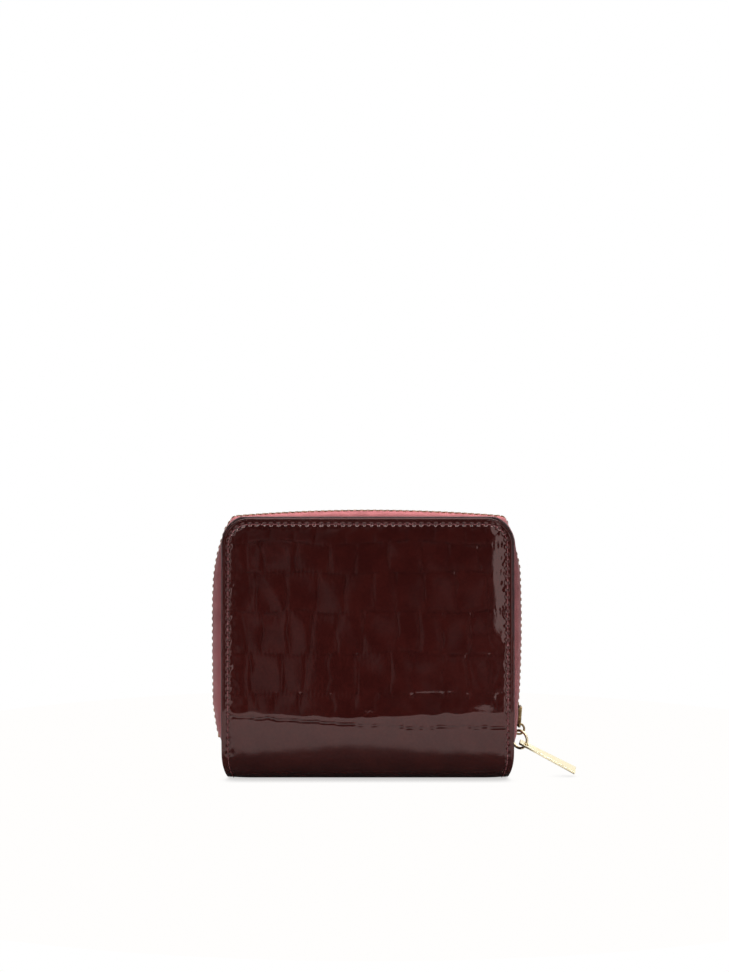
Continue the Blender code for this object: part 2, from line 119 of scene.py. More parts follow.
# ---- the cover's bend and the line pressed under it, as x and height ----
BEND_MARKS = {
    FRONT: ((-55, 26.4), (-52, 26.4), (-9, 24.0), (4, 24.3), (30, 25.8), (52, 26.2)),
    BACK: ((-55, 25.2), (-20, 26.2), (10, 25.0), (55, 25.6)),
}
PRESSED_MARKS = {
    FRONT: (
        (-55, 25.2), (-52, 25.1), (-30, 23.7), (-9, 22.1), (8, 21.3),
        (21, 20.4), (33, 21.4), (44, 20.7), (55, 20.5),
    ),
    BACK: ((-55, 21.8), (-20, 22.6), (10, 21.2), (30, 22.4), (55, 22.0)),
}

# ---- coin pocket ----
COIN_HALF_WIDTH = 42.0
COIN_HALF_DEPTH = 2.5
COIN_WALL = 0.6
COIN_FOOT = 3.5
COIN_TOP = 80.0
COIN_CORNER = 4.0
GUSSET_FOLD = 3.0

# ---- seam ----
SEAM_INSET = 2.4
STITCH_PITCH = 2.7
STITCH_FOOT = 4.0
COVER_STITCH = 0.19
POCKET_STITCH = 0.16
COIN_STITCH = 0.17

# ---- dark bead past the leather's rim: painted shade of the gap between rim and tape ----
SHADE_BEAD_RADIUS = 0.5
SHADE_BEAD_DEPTH = 0.95
SHADE_BEAD_SIDE = 0.2
SHADE_BEAD_TOP = 0.95

# ---- zip chain, where the CAD model has it ----
SIDE_RADIUS = 450.0
SIDE_REACH = 57.6
SIDE_MIDDLE = 58.0
SIDE_HEAD = 80.0
CHAIN_FOOT = 14.6
RIGHT_SHOULDER = ((55.2, 88.0), (53.4, 93.6))
LEFT_SIDE = (
    (56.8, CHAIN_FOOT), (58.7, 26.0), (59.1, 36.0), (59.1, 70.0), (57.6, 84.0), (54.6, 94.4),
)
CHAIN_CORNER = (51.8, 99.1)
CHAIN_CORNER_RADIUS = 2.2
TOP_APEX = 101.3
FIRST_TOOTH = 3.2
TOOTH_PITCH = 2.5
TOOTH_END = 2.86
TOOTH_HALF = (  # half width, distance from the middle line and half thickness
    (0.30, -0.95, 0.5), (0.46, -0.55, 0.62), (0.34, 0.15, 0.62), (0.40, 1.0, 0.66),
    (0.62, 1.5, 0.86), (0.62, 2.7, 0.86), (0.45, 3.0, 0.7),
)
TAPE_EDGE = 1.5
CORD_PLACE = 1.42
CORD_RADIUS = 0.46
TAPE_FLAT = 5.2
TAPE_BOW = ((0.42, 0.25, 0.4), (0.74, 0.6, 0.25), (0.94, 0.85, 0.0))
TAPE_SEWN = 4.6
TAPE_TURN = 0.4

# ---- slider and pull ----
SLIDER_HEIGHT = 22.8
SLIDER_LENGTH = 8.2
SLIDER_HALF_WIDTH = 3.9
CHANNEL_HALF = 1.2
PLATE = 0.8
BAIL_RADIUS = 2.0
BAIL_WIRE = 0.42
BAIL_PLACE = (1.75, -4.75)
RING_RADIUS = 3.4
RING_WIRE = 0.55
RING_HANG = 0.65
RING_LEAN = math.radians(4.0)
RING_TWIST = math.radians(50.0)
HOLD_ANGLE = math.radians(127.0)
TAB_SLOPE = math.radians(27.5)
TAB_LENGTH = 21.3
TAB_ROOT = 2.7
TAB_ROOT_HALF = 1.4
TAB_TIP_HALF = 2.2
TAB_THICK = 1.0
TAB_HOLE = 0.92

# ---- view ----
CAMERA_PLACE = (-1.7, -665.0, 123.0)
CAMERA_DIP = math.radians(1.02)
CAMERA_LENS = 64.33
FLOOR_RADIUS = 245.0
OVERHEAD_PLACE = (40.0, 300.0, 900.0)
OVERHEAD_WATTS = 13.0
SPOT_PLACE = (0.0, -260.0, 600.0)
SPOT_AIM = (0.0, -200.0, 0.0)
SPOT_WATTS = 9.0


# ==== node helpers ====


class Nodes:
    """Short calls for building a node tree."""

    def __init__(self, tree):
        self.tree = tree
        self.tree.nodes.clear()

    def feed(self, socket, value):
        if isinstance(value, bpy.types.NodeSocket):
            self.tree.links.new(value, socket)
        else:
            socket.default_value = value

    def set(self, node, **values):
        """Sets or links inputs of a node, with underscores for the spaces in their names."""
        for name, value in values.items():
            self.feed(node.inputs[name.replace("_", " ")], value)

    def add(self, kind, inputs=None, **settings):
        node = self.tree.nodes.new(kind)
        for name, value in settings.items():
            setattr(node, name, value)
        for name, value in (inputs or {}).items():
            self.feed(node.inputs[name], value)
        return node

    def math(self, operation, *values):
        inputs = dict(enumerate(values))
        return self.add("ShaderNodeMath", inputs, operation=operation).outputs[0]

    def ramp(self, value, low, high, to_low=0.0, to_high=1.0, smooth=True):
        inputs = dict(enumerate((value, low, high, to_low, to_high)))
        shape = "SMOOTHSTEP" if smooth else "LINEAR"
        return self.add("ShaderNodeMapRange", inputs, interpolation_type=shape).outputs[0]

    def band(self, value, rise, fall):
        """1 between two pairs of marks, rising from 0 over the first and falling over the second."""
        return self.math("MULTIPLY", self.ramp(value, *rise), self.ramp(value, *fall, 1.0, 0.0))

    def mix(self, factor, first, second, blend="MIX"):
        inputs = {"Factor": factor, "A": first, "B": second}
        node = self.add("ShaderNodeMix", inputs, data_type="RGBA", blend_type=blend)
        return node.outputs["Result"]

    def two_tone(self, value, marks, first, second):
        """A colour that goes from the first to the second as a value passes two marks."""
        return self.mix(self.ramp(value, *marks), rgb(*first), rgb(*second))

    def shaded(self, colour, level):
        """A colour multiplied by a number."""
        grey = self.add("ShaderNodeCombineColor", {"Red": level, "Green": level, "Blue": level})
        return self.mix(1.0, colour, grey.outputs[0], "MULTIPLY")

    def noise(self, where, scale, detail=3.0, roughness=0.55):
        inputs = {"Vector": where, "Scale": scale, "Detail": detail, "Roughness": roughness}
        return self.add("ShaderNodeTexNoise", inputs).outputs["Fac"]

    def bump(self, height, strength, distance, normal=None):
        inputs = {"Height": height, "Strength": strength, "Distance": distance}
        if normal:
            inputs["Normal"] = normal
        return self.add("ShaderNodeBump", inputs).outputs["Normal"]


def rgb(red, green, blue):
    return (red, green, blue, 1.0)


def new_material(name):
    """A Principled material: its nodes helper, its shader and its object and UV coordinates."""
    made = bpy.data.materials.new(name)
    made.use_nodes = True
    nodes = Nodes(made.node_tree)
    shader = nodes.add("ShaderNodeBsdfPrincipled")
    output = nodes.add("ShaderNodeOutputMaterial")
    made.node_tree.links.new(shader.outputs[0], output.inputs[0])
    where = nodes.add("ShaderNodeTexCoord")
    return made, nodes, shader, where


# ==== materials: UV is in centimetres, except where a docstring says otherwise ====


def patent_leather():
    """Oxblood leather under a clear lacquer, with painted shade in its grooves. UV is on the flat
    leather.
    """
    made, nodes, shader, where = new_material("patent_leather")
    uv = where.outputs["UV"]
    blotch = nodes.noise(uv, 0.9, 4.0)
    fine = nodes.noise(uv, 9.0, 2.0)
    tone = nodes.two_tone(blotch, (0.35, 0.68), (0.074, 0.0122, 0.0106), (0.092, 0.0152, 0.0128))
    pores = nodes.ramp(fine, 0.3, 0.7, 0.93, 1.05)
    # painted shade: the base colour darkens to about a third in the scale grooves and along the
    # pressed line
    groove_shade = nodes.add("ShaderNodeAttribute", attribute_name="groove_shade").outputs["Fac"]
    shade = nodes.math("MULTIPLY", pores, nodes.ramp(groove_shade, 0.0, 3.0, 1.0, 0.35, smooth=False))
    dark = nodes.shaded(tone, shade)
    peel = nodes.noise(uv, 6.0, 2.0)
    grain = nodes.noise(uv, 34.0, 3.0)
    coat = nodes.bump(peel, 0.35, 0.00004)
    normal = nodes.bump(grain, 0.12, 0.00003, coat)
    nodes.set(shader, Base_Color=dark, Coat_Normal=coat, Normal=normal)
    nodes.set(shader, Roughness=0.05, IOR=1.45, Coat_Weight=0.6, Coat_Roughness=0.02, Coat_IOR=1.5)
    nodes.set(shader, Specular_IOR_Level=0.36, Specular_Tint=rgb(1.0, 0.42, 0.38))
    return made


def rim_shade_paint():
    """Dark glossy burgundy for the bead that stands for the shaded gap at the cover's rim: painted
    shade. UV is along the edge and round it.
    """
    made, nodes, shader, where = new_material("rim_shade_paint")
    mottle = nodes.noise(where.outputs["UV"], 3.0, 4.0)
    paint = nodes.two_tone(mottle, (0.3, 0.7), (0.036, 0.007, 0.008), (0.058, 0.011, 0.012))
    rough = nodes.ramp(mottle, 0.3, 0.7, 0.3, 0.42)
    normal = nodes.bump(mottle, 0.4, 0.00008)
    nodes.set(shader, Base_Color=paint, Roughness=rough, Specular_IOR_Level=0.4, Normal=normal)
    return made


def pocket_leather():
    """Fine-grained leather for the pockets inside, with painted shade in the creases between its
    pebbles.
    """
    made, nodes, shader, where = new_material("pocket_leather")
    uv = where.outputs["UV"]
    inputs = {"Vector": uv, "Scale": 16.0, "Randomness": 0.9}
    cells = nodes.add("ShaderNodeTexVoronoi", inputs, feature="DISTANCE_TO_EDGE")
    pebble = nodes.ramp(cells.outputs["Distance"], 0.0, 0.22)
    blotch = nodes.noise(uv, 1.2, 4.0)
    tone = nodes.two_tone(blotch, (0.3, 0.7), (0.07, 0.011, 0.014), (0.105, 0.018, 0.021))
    # painted shade: the colour goes up to half way to near-black in the creases between the pebbles
    crease_shade = nodes.ramp(pebble, 0.0, 1.0, 0.5, 0.0)
    tone = nodes.mix(crease_shade, tone, rgb(0.03, 0.005, 0.006))
    rough = nodes.ramp(blotch, 0.3, 0.7, 0.42, 0.56)
    normal = nodes.bump(pebble, 0.6, 0.00008)
    nodes.set(shader, Base_Color=tone, Roughness=rough, Normal=normal)
    nodes.set(shader, Coat_Weight=0.08, Coat_Roughness=0.35)
    return made


def woven(name, low, high, thread, sheen, slant=1.0):
    """A twill cloth: thread is its pitch in millimetres, low and high its colours in the weave's
    hollows and on its raised threads; the darker hollows are painted shade.
    """
    made, nodes, shader, where = new_material(name)
    uv = where.outputs["UV"]
    split = nodes.add("ShaderNodeSeparateXYZ", {"Vector": uv})
    turns = 10.0 * math.tau / thread
    along = nodes.math("MULTIPLY", split.outputs["X"], turns)
    across = nodes.math("MULTIPLY", split.outputs["Y"], turns)
    rib = nodes.math("SINE", nodes.math("ADD", along, nodes.math("MULTIPLY", across, slant)))
    half = nodes.math("MULTIPLY", along, 0.5)
    cut = nodes.math("SINE", nodes.math("MULTIPLY_ADD", across, 2.0, half))
    weave = nodes.math("MULTIPLY_ADD", cut, 0.35, rib)
    fuzz = nodes.noise(uv, 45.0, 3.0)
    height = nodes.math("MULTIPLY_ADD", fuzz, 0.8, weave)
    # colour follows the weave's height: painted shade in its hollows, plus random tone from the fuzz
    tone = nodes.two_tone(height, (-0.9, 1.6), low, high)
    patch = nodes.ramp(nodes.noise(uv, 1.6, 3.0), 0.3, 0.7, 0.88, 1.1)
    nodes.set(shader, Base_Color=nodes.shaded(tone, patch), Normal=nodes.bump(height, 0.5, 0.00009))
    nodes.set(shader, Roughness=0.85, Specular_IOR_Level=0.25)
    nodes.set(shader, Sheen_Weight=sheen, Sheen_Roughness=0.4)
    return made


def seam_thread():
    """Glossy twisted thread, darker between its strands with painted shade. UV is along it and round
    it.
    """
    made, nodes, shader, where = new_material("seam_thread")
    split = nodes.add("ShaderNodeSeparateXYZ", {"Vector": where.outputs["UV"]})
    turned = nodes.math("MULTIPLY", split.outputs["Y"], math.tau * 2)
    twist = nodes.math("MULTIPLY_ADD", split.outputs["X"], 160.0, turned)
    strand = nodes.math("SINE", twist)
    # painted shade: darker between the strands of the twist, lighter on them
    tone = nodes.two_tone(strand, (-1.0, 1.0), (0.2, 0.05, 0.055), (0.62, 0.23, 0.24))
    nodes.set(shader, Base_Color=tone, Roughness=0.5, Specular_IOR_Level=0.3)
    nodes.set(shader, Normal=nodes.bump(strand, 0.5, 0.00005))
    return made


def metal(name, tone, rubbed, roughness, wear, relief):
    """A plated metal: tone on flats, rubbed on worn spots, with fine scratches."""
    made, nodes, shader, where = new_material(name)
    spot = where.outputs["Object"]
    blotch = nodes.noise(spot, 900.0, 4.0)
    inputs = {"Vector": spot, "Scale": (500.0, 6000.0, 3000.0), "Rotation": (0.3, 0.5, 0.2)}
    stretched = nodes.add("ShaderNodeMapping", inputs)
    scratch = nodes.noise(stretched.outputs[0], 1.0, 2.0)
    mask = nodes.ramp(blotch, 0.42, 0.72, 0.0, wear)
    colour = nodes.mix(mask, rgb(*tone), rgb(*rubbed))
    rough = nodes.math("MULTIPLY_ADD", nodes.ramp(scratch, 0.35, 0.75), 0.12, roughness)
    rough = nodes.math("MULTIPLY_ADD", mask, 0.1, rough)
    normal = nodes.bump(scratch, relief, 0.00002)
    nodes.set(shader, Base_Color=colour, Metallic=1.0, Roughness=rough, Normal=normal)
    return made


def fibre_board():
    """Speckled grey-brown board."""
    made, nodes, shader, where = new_material("fibre_board")
    speck = nodes.noise(where.outputs["Object"], 1400.0, 5.0, 0.7)
    tone = nodes.two_tone(speck, (0.35, 0.65), (0.22, 0.15, 0.1), (0.45, 0.34, 0.24))
    nodes.set(shader, Base_Color=tone, Roughness=0.9, Normal=nodes.bump(speck, 0.4, 0.0001))
    return made


PATENT = patent_leather()
RIM_SHADE_PAINT = rim_shade_paint()
POCKET_LEATHER = pocket_leather()
TAPE_CLOTH = woven("zip_tape", (0.24, 0.054, 0.062), (0.68, 0.23, 0.24), 0.6, 0.28)
LINING_CLOTH = woven("lining_cloth", (0.07, 0.012, 0.017), (0.17, 0.036, 0.046), 0.5, 0.2)
THREAD = seam_thread()
BRASS = metal("antique_brass", (0.30, 0.17, 0.085), (0.62, 0.42, 0.24), 0.34, 0.75, 0.5)
SLIDER_METAL = metal("slider_metal", (0.2, 0.13, 0.06), (0.52, 0.39, 0.2), 0.3, 0.7, 0.3)
RING_GOLD = metal("ring_gold", (0.8, 0.68, 0.43), (0.93, 0.85, 0.66), 0.3, 0.6, 0.1)
GOLD = metal("pale_gold", (0.87, 0.77, 0.53), (0.93, 0.86, 0.68), 0.15, 0.5, 0.04)
FIBRE = fibre_board()


# ==== mesh helpers ====


def linked(name, data):
    obj = bpy.data.objects.new(name, data)
    bpy.context.scene.collection.objects.link(obj)
    return obj


def mesh_object(name, points, faces, made_of, uv=None, smooth=True):
    """A mesh from points in millimetres. uv gives each point's place on the material."""
    mesh = bpy.data.meshes.new(name)
    mesh.from_pydata((np.asarray(points, float) * MM).tolist(), [], faces)
    if uv is not None:
        layer = mesh.uv_layers.new(name="UVMap")
        corner = np.zeros(len(mesh.loops), np.int32)
        mesh.loops.foreach_get("vertex_index", corner)
        layer.data.foreach_set("uv", np.asarray(uv, np.float32)[corner].ravel())
    mesh.materials.append(made_of)
    if smooth:
        mesh.shade_smooth()
    return linked(name, mesh)


def grid_faces(columns, rows, start=0, flip=False):
    """Quads of a grid whose points are stored column by column."""
    faces = []
    for i in range(columns - 1):
        for j in range(rows - 1):
            a = start + rows * i + j
            quad = (a, a + rows, a + rows + 1, a + 1)
            faces.append(quad[::-1] if flip else quad)
    return faces


def face_out(obj):
    """Turns a closed mesh's faces outward."""
    work = bmesh.new()
    work.from_mesh(obj.data)
    bmesh.ops.recalc_face_normals(work, faces=work.faces)
    work.to_mesh(obj.data)
    work.free()
    return obj


def bake_modifiers(obj):
    """Replaces an object's mesh by its evaluated one."""
    bpy.context.view_layer.update()
    graph = bpy.context.evaluated_depsgraph_get()
    mesh = bpy.data.meshes.new_from_object(obj.evaluated_get(graph))
    obj.modifiers.clear()
    obj.data = mesh


def smoothstep(value, low, high):
    t = np.clip((value - low) / (high - low), 0.0, 1.0)
    return t * t * (3.0 - 2.0 * t)


def bell(distance, width):
    return np.exp(-((distance / width) ** 2))


def running(steps):
    """The running total of some steps, from 0."""
    return np.concatenate(((0,), np.cumsum(steps)))


class Waves:
    """A smooth random function of one or two numbers, from a few seeded sines."""

    def __init__(self, seed, size, count=5):
        draw = np.random.default_rng(seed)
        self.rates = draw.uniform(0.6, 2.0, (count, 2)) * math.tau / size
        self.rates *= draw.choice((-1, 1), (count, 2))
        self.phases = draw.uniform(0, math.tau, count)
        self.scale = 1.0 / math.sqrt(count / 2)

    def __call__(self, x, y=0.0):
        total = sum(np.sin(a * x + b * y + p) for (a, b), p in zip(self.rates, self.phases))
        return total * self.scale


# ==== the folded sheet that every flat piece follows ====


def fold_section():
    """Arrays along the outer face's section: distance, half depth, height and tangent angle."""
    reach, rise = CREASE_HALF_DEPTH - FOOT_FLAT, CREASE_HEIGHT - FOOT_RADIUS
    slope = math.acos(FOOT_RADIUS / math.hypot(reach, rise)) - math.atan2(rise, reach)
    lean = math.atan((CREASE_HALF_DEPTH - TOP_HALF_DEPTH) / (COVER_TOP - CREASE_HEIGHT))
    bend = FOOT_RADIUS * (math.pi / 2 - slope)
    foot_line = (CREASE_HEIGHT - FOOT_RADIUS * (1 - math.sin(slope))) / math.cos(slope)
    marks = np.array((FOOT_FLAT, FOOT_FLAT + bend, FOOT_FLAT + bend + foot_line))
    end = marks[2] + (COVER_TOP - CREASE_HEIGHT) / math.cos(lean)
    s = np.arange(0.0, end + SECTION_STEP, SECTION_STEP)
    turned = np.clip((s - marks[0]) / bend, 0, 1) * (math.pi / 2 - slope)
    creased = smoothstep(s, marks[2] - CREASE_SOFTNESS, marks[2] + CREASE_SOFTNESS)
    tangent = turned + creased * (slope + lean)
    y = running(np.cos(tangent[:-1]) * SECTION_STEP)
    z = running(np.sin(tangent[:-1]) * SECTION_STEP)
    return s, y, z, tangent, marks, end


SECTION_S, SECTION_Y, SECTION_Z, SECTION_ANGLE, SECTION_MARKS, SECTION_END = fold_section()


def at_height(height):
    """The distance along the section at which it reaches a height."""
    return float(np.interp(height, SECTION_Z, SECTION_S))


def place(side, x, s, lift):
    """Points lifted off the outer face at distance s up the section and x across it."""
    angle = np.interp(s, SECTION_S, SECTION_ANGLE)
    y = np.interp(s, SECTION_S, SECTION_Y) + lift * np.sin(angle)
    z = np.interp(s, SECTION_S, SECTION_Z) - lift * np.cos(angle)
    return np.stack((x + COVER_SHIFT, side * y, z), axis=-1)


def half_width_at(s, top, half_width, corner):
    """Half the width of a sheet with rounded top corners, narrower round the foot."""
    height = np.interp(s, SECTION_S, SECTION_Z)
    rise = np.clip(height / FOOT_RADIUS, 0, 1)
    down = np.clip(corner - (top - s), 0, corner)
    rounded = half_width - corner + np.sqrt(np.maximum(corner**2 - down**2, 0.0))
    return rounded - FOOT_NARROWING * (1 - rise) ** 2


def edge_distance(x, s, top, half_width, corner):
    """How far a point of the sheet is from its side and top edges."""
    side = half_width_at(s, top + 2 * corner, half_width, corner) - np.abs(x)
    above = top - s
    inside = np.minimum(side, above)
    round_off = corner - np.hypot(corner - side, corner - above)
    return np.where((side < corner) & (above < corner), round_off, inside)


def spread(length, fine, coarse, border):
    """Marks from 0 to length: fine steps over the border at the far end, coarse ones before it."""
    border = min(border, length)
    far = np.arange(0.0, border, fine)
    count = max(2, int(round((length - border) / coarse)))
    near = np.linspace(border, length, count + 1)
    return length - np.concatenate((far, near))[::-1]


def pad_to(marks, step):
    """Adds marks in the longest gaps until their count is one more than a multiple of step."""
    marks = np.array(marks)
    while (len(marks) - 1) % step:
        gap = int(np.argmax(np.diff(marks)))
        marks = np.insert(marks, gap + 1, (marks[gap] + marks[gap + 1]) / 2)
    return marks


def sheet_rows(foot, top, corner, coarse):
    """Distances up the section for a sheet's rows, closer together where its corners turn."""
    steps = 42 if coarse < 1 else 9
    turn = top - corner + corner * np.sin(np.linspace(0, math.pi / 2, steps))
    count = max(2, int(round((top - corner - foot) / coarse)))
    return np.concatenate((np.linspace(foot, top - corner, count + 1)[:-1], turn))


def perimeter(columns, rows):
    """Indices round a grid that is stored column by column, as one loop."""
    bottom = [rows * i for i in range(columns)]
    right = [rows * (columns - 1) + j for j in range(1, rows)]
    top = [rows * i + rows - 1 for i in range(columns - 2, -1, -1)]
    left = list(range(rows - 2, 0, -1))
    return bottom + right + top + left


def folded_sheet(
    name, side, foot, top, half_width, corner, depth, thickness, made_of,
    relief=None, coarse=1.6, fine=None, inward=False,
):
    """A closed sheet that follows the fold, with rounded edges and relief on its detailed face.

    depth is from the wallet's outer face to the sheet's. The detailed face is the outer one, or
    with inward the one that faces the wallet's middle. The other face has every third point.
    """
    step = 3
    fine = fine or coarse
    rows = pad_to(sheet_rows(foot, top, corner, coarse), step)
    across = spread(half_width, fine, coarse, FINE_BORDER) / half_width
    across = np.concatenate((-across[:0:-1], across))
    across = pad_to(across, step)
    s = np.tile(rows, (len(across), 1))
    x = across[:, None] * half_width_at(rows, top, half_width, corner)[None, :]
    edge = edge_distance(x, s, top, half_width, corner)
    rounding = min(EDGE_ROUNDING, thickness * EDGE_ROUNDING)
    inside = np.clip(rounding - edge, 0, rounding)
    lift = -(rounding - np.sqrt(rounding**2 - inside**2))
    groove_shade = np.zeros_like(lift)
    if relief:
        extra, groove_shade = relief(x, s, edge)
        lift = lift + extra
    sign = -1 if inward else 1
    near, far = (-depth - thickness, -depth) if inward else (-depth, -depth - thickness)
    outer = place(side, x, s, near + sign * lift)
    columns, count = s.shape
    points = [outer.reshape(-1, 3)]
    faces = grid_faces(columns, count, flip=side == BACK)
    loop = perimeter(columns, count)
    flat_x, flat_s = x.ravel()[loop], s.ravel()[loop]
    wall = place(side, flat_x, flat_s, np.full(len(loop), far + sign * rounding))
    first_wall = columns * count
    points.append(wall)
    size = len(loop)
    for i in range(size):
        j = (i + 1) % size
        quad = (loop[i], first_wall + i, first_wall + j, loop[j])
        faces.append(quad if side == FRONT else quad[::-1])
    inner_x, inner_s = x[::step, ::step] * (1 - rounding / half_width), s[::step, ::step]
    inner = place(side, inner_x, inner_s, np.full_like(inner_x, far))
    first_inner = first_wall + size
    points.append(inner.reshape(-1, 3))
    inner_columns, inner_count = inner_x.shape
    faces += grid_faces(inner_columns, inner_count, first_inner, flip=side == FRONT)
    inner_loop = [first_inner + i for i in perimeter(inner_columns, inner_count)]
    for i, here in enumerate(inner_loop):
        following = inner_loop[(i + 1) % len(inner_loop)]
        a, b, c, d = (first_wall + (step * i + k) % size for k in range(4))
        fan = [(here, a, b), (here, b, c), (here, c, following), (c, d, following)]
        faces += [f[::-1] if side == FRONT else f for f in fan]
    flats = ((x, s), (flat_x, flat_s), (inner_x, inner_s))
    uv = np.concatenate([np.stack((a.ravel(), b.ravel()), -1) for a, b in flats]) / 10.0
    obj = mesh_object(name, np.concatenate(points), faces, made_of, uv)
    # the groove_shade attribute carries painted shade that darkens the sheet's colour in grooves and
    # along the pressed line
    attribute = obj.data.attributes.new("groove_shade", "FLOAT", "POINT")
    values = np.zeros(len(obj.data.vertices), np.float32)
    values[: groove_shade.size] = groove_shade.ravel()
    attribute.data.foreach_set("value", values)
    return face_out(obj)


def bend_with(obj):
    """Bakes the placing of a piece that crosses the foot into its mesh; the piece is not attached to a
    body.
    """
    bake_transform(obj)


# ==== embossed cover leather ====


def seam_path(inset):
    """Points (x, s) and running lengths of a line inset from the cover's edge, foot to foot."""
    half, top, corner = HALF_WIDTH - inset, SECTION_END - inset, CORNER - inset
    up = np.linspace(STITCH_FOOT, top - corner, 400)
    angle = np.linspace(0, math.pi / 2, 60)[1:]
    side_x, turn_x = half_width_at(up, top, half, corner), half - corner + corner * np.cos(angle)
    right_x = np.concatenate((side_x, turn_x))
    right_s = np.concatenate((up, top - corner + corner * np.sin(angle)))
    x = np.concatenate((-right_x, right_x[::-1]))
    s = np.concatenate((right_s, right_s[::-1]))
    run = running(np.hypot(np.diff(x), np.diff(s)))
    return x, s, run


def stitch_marks(inset):
    """The needle holes of the seam as (x, s) arrays."""
    x, s, run = seam_path(inset)
    count = int(round(run[-1] / STITCH_PITCH))
    marks = np.linspace(0, run[-1], count + 1)
    return np.interp(marks, run, x), np.interp(marks, run, s)


def crocodile(seed, x, s):
    """Height of the embossed scales, rows of rounded oblongs, and how deep their grooves cut, which
    serves as painted shade.
    """
    draw = np.random.default_rng(seed)
    fade = Waves(seed + 400, 18.0, 6)
    height = np.zeros_like(x)
    groove_shade = np.zeros_like(x)
    lines = [at_height(row) for row in SCALE_ROWS[:-1]]
    lines.append(SECTION_END + 4.0)
    sway = [Waves(seed * 31 + k, 46.0) for k in range(len(lines))]
    edges = [line + 0.5 * wave(x) for line, wave in zip(lines, sway)]
    for k, (low, high) in enumerate(zip(edges, edges[1:])):
        widths = draw.uniform(8.0, 13.0, 15)
        posts = np.cumsum(widths) - widths.sum() / 2 + draw.uniform(-4, 4)
        leans = draw.uniform(-0.9, 0.9, len(posts))
        inside = (s >= low) & (s < high)
        share = (s - low) / np.maximum(high - low, 1e-6)
        side_gap = np.full_like(x, 99.0)
        tilt = np.zeros_like(x)
        slopes = draw.uniform(-1, 1, (len(posts), 2))
        for n, post in enumerate(posts):
            wobble = Waves(seed * 77 + 13 * k + n, 17.0, 3)
            leaning = post + leans[n] * (share - 0.5) + 0.28 * wobble(s)
            near = np.abs(x - leaning)
            plane = slopes[n, 0] * (x - leaning - 5.0) + slopes[n, 1] * (share - 0.5) * 12.0
            tilt = np.where(x > leaning, plane, tilt)
            side_gap = np.minimum(side_gap, near)
        row_gap = np.minimum(s - low, high - s)
        pit = np.exp(-((side_gap / 0.4) ** 2) - (((high - s - 0.6) / 1.0) ** 2))
        corner_gap = -np.log(np.exp(-side_gap / 0.7) + np.exp(-row_gap / 0.7)) * 0.7
        gap = np.maximum(corner_gap, 0.0)
        dome = 1 - np.exp(-gap / 1.3)
        faint = 0.62 + 0.38 * np.clip(fade(x, s), -1.0, 1.0)
        faint = faint * (0.42 + 0.58 * smoothstep(s, lines[1] + 4.0, lines[2] + 10.0))
        cut = (bell(side_gap, 0.45) * 0.7 + bell(row_gap, 0.45)) * faint
        ripple = 0.02 * np.sin(x * math.tau / 1.5 + 2.0 * np.sin(s / 3.0)) * bell(row_gap, 1.5)
        shape = SCALE_DOME * dome - SCALE_CUT * np.minimum(cut, 1.0) + ripple
        shape = shape + 0.005 * tilt * dome - 0.12 * pit
        height = np.where(inside, shape, height)
        groove_shade = np.where(inside, np.minimum(cut, 1.0), groove_shade)
    return height, groove_shade


def crease_marks(side, x):
    """Where the cover bends, and where the line is pressed under it, as heights at x."""
    bend = np.interp(x, *zip(*BEND_MARKS[side]))
    line = np.interp(x, *zip(*PRESSED_MARKS[side]))
    wave = Waves(5 if side == FRONT else 9, 14.0)
    return bend + 0.22 * wave(x), line + 0.16 * wave(x * 1.3 + 5)


def bend_depth(above, softness):
    """How far a unit bend has turned away at some distance below it."""
    t = np.clip((above + softness) / (2 * softness), 0.0, 1.0)
    return 2 * softness * (t**3 - t**4 / 2) + np.maximum(above - softness, 0.0)


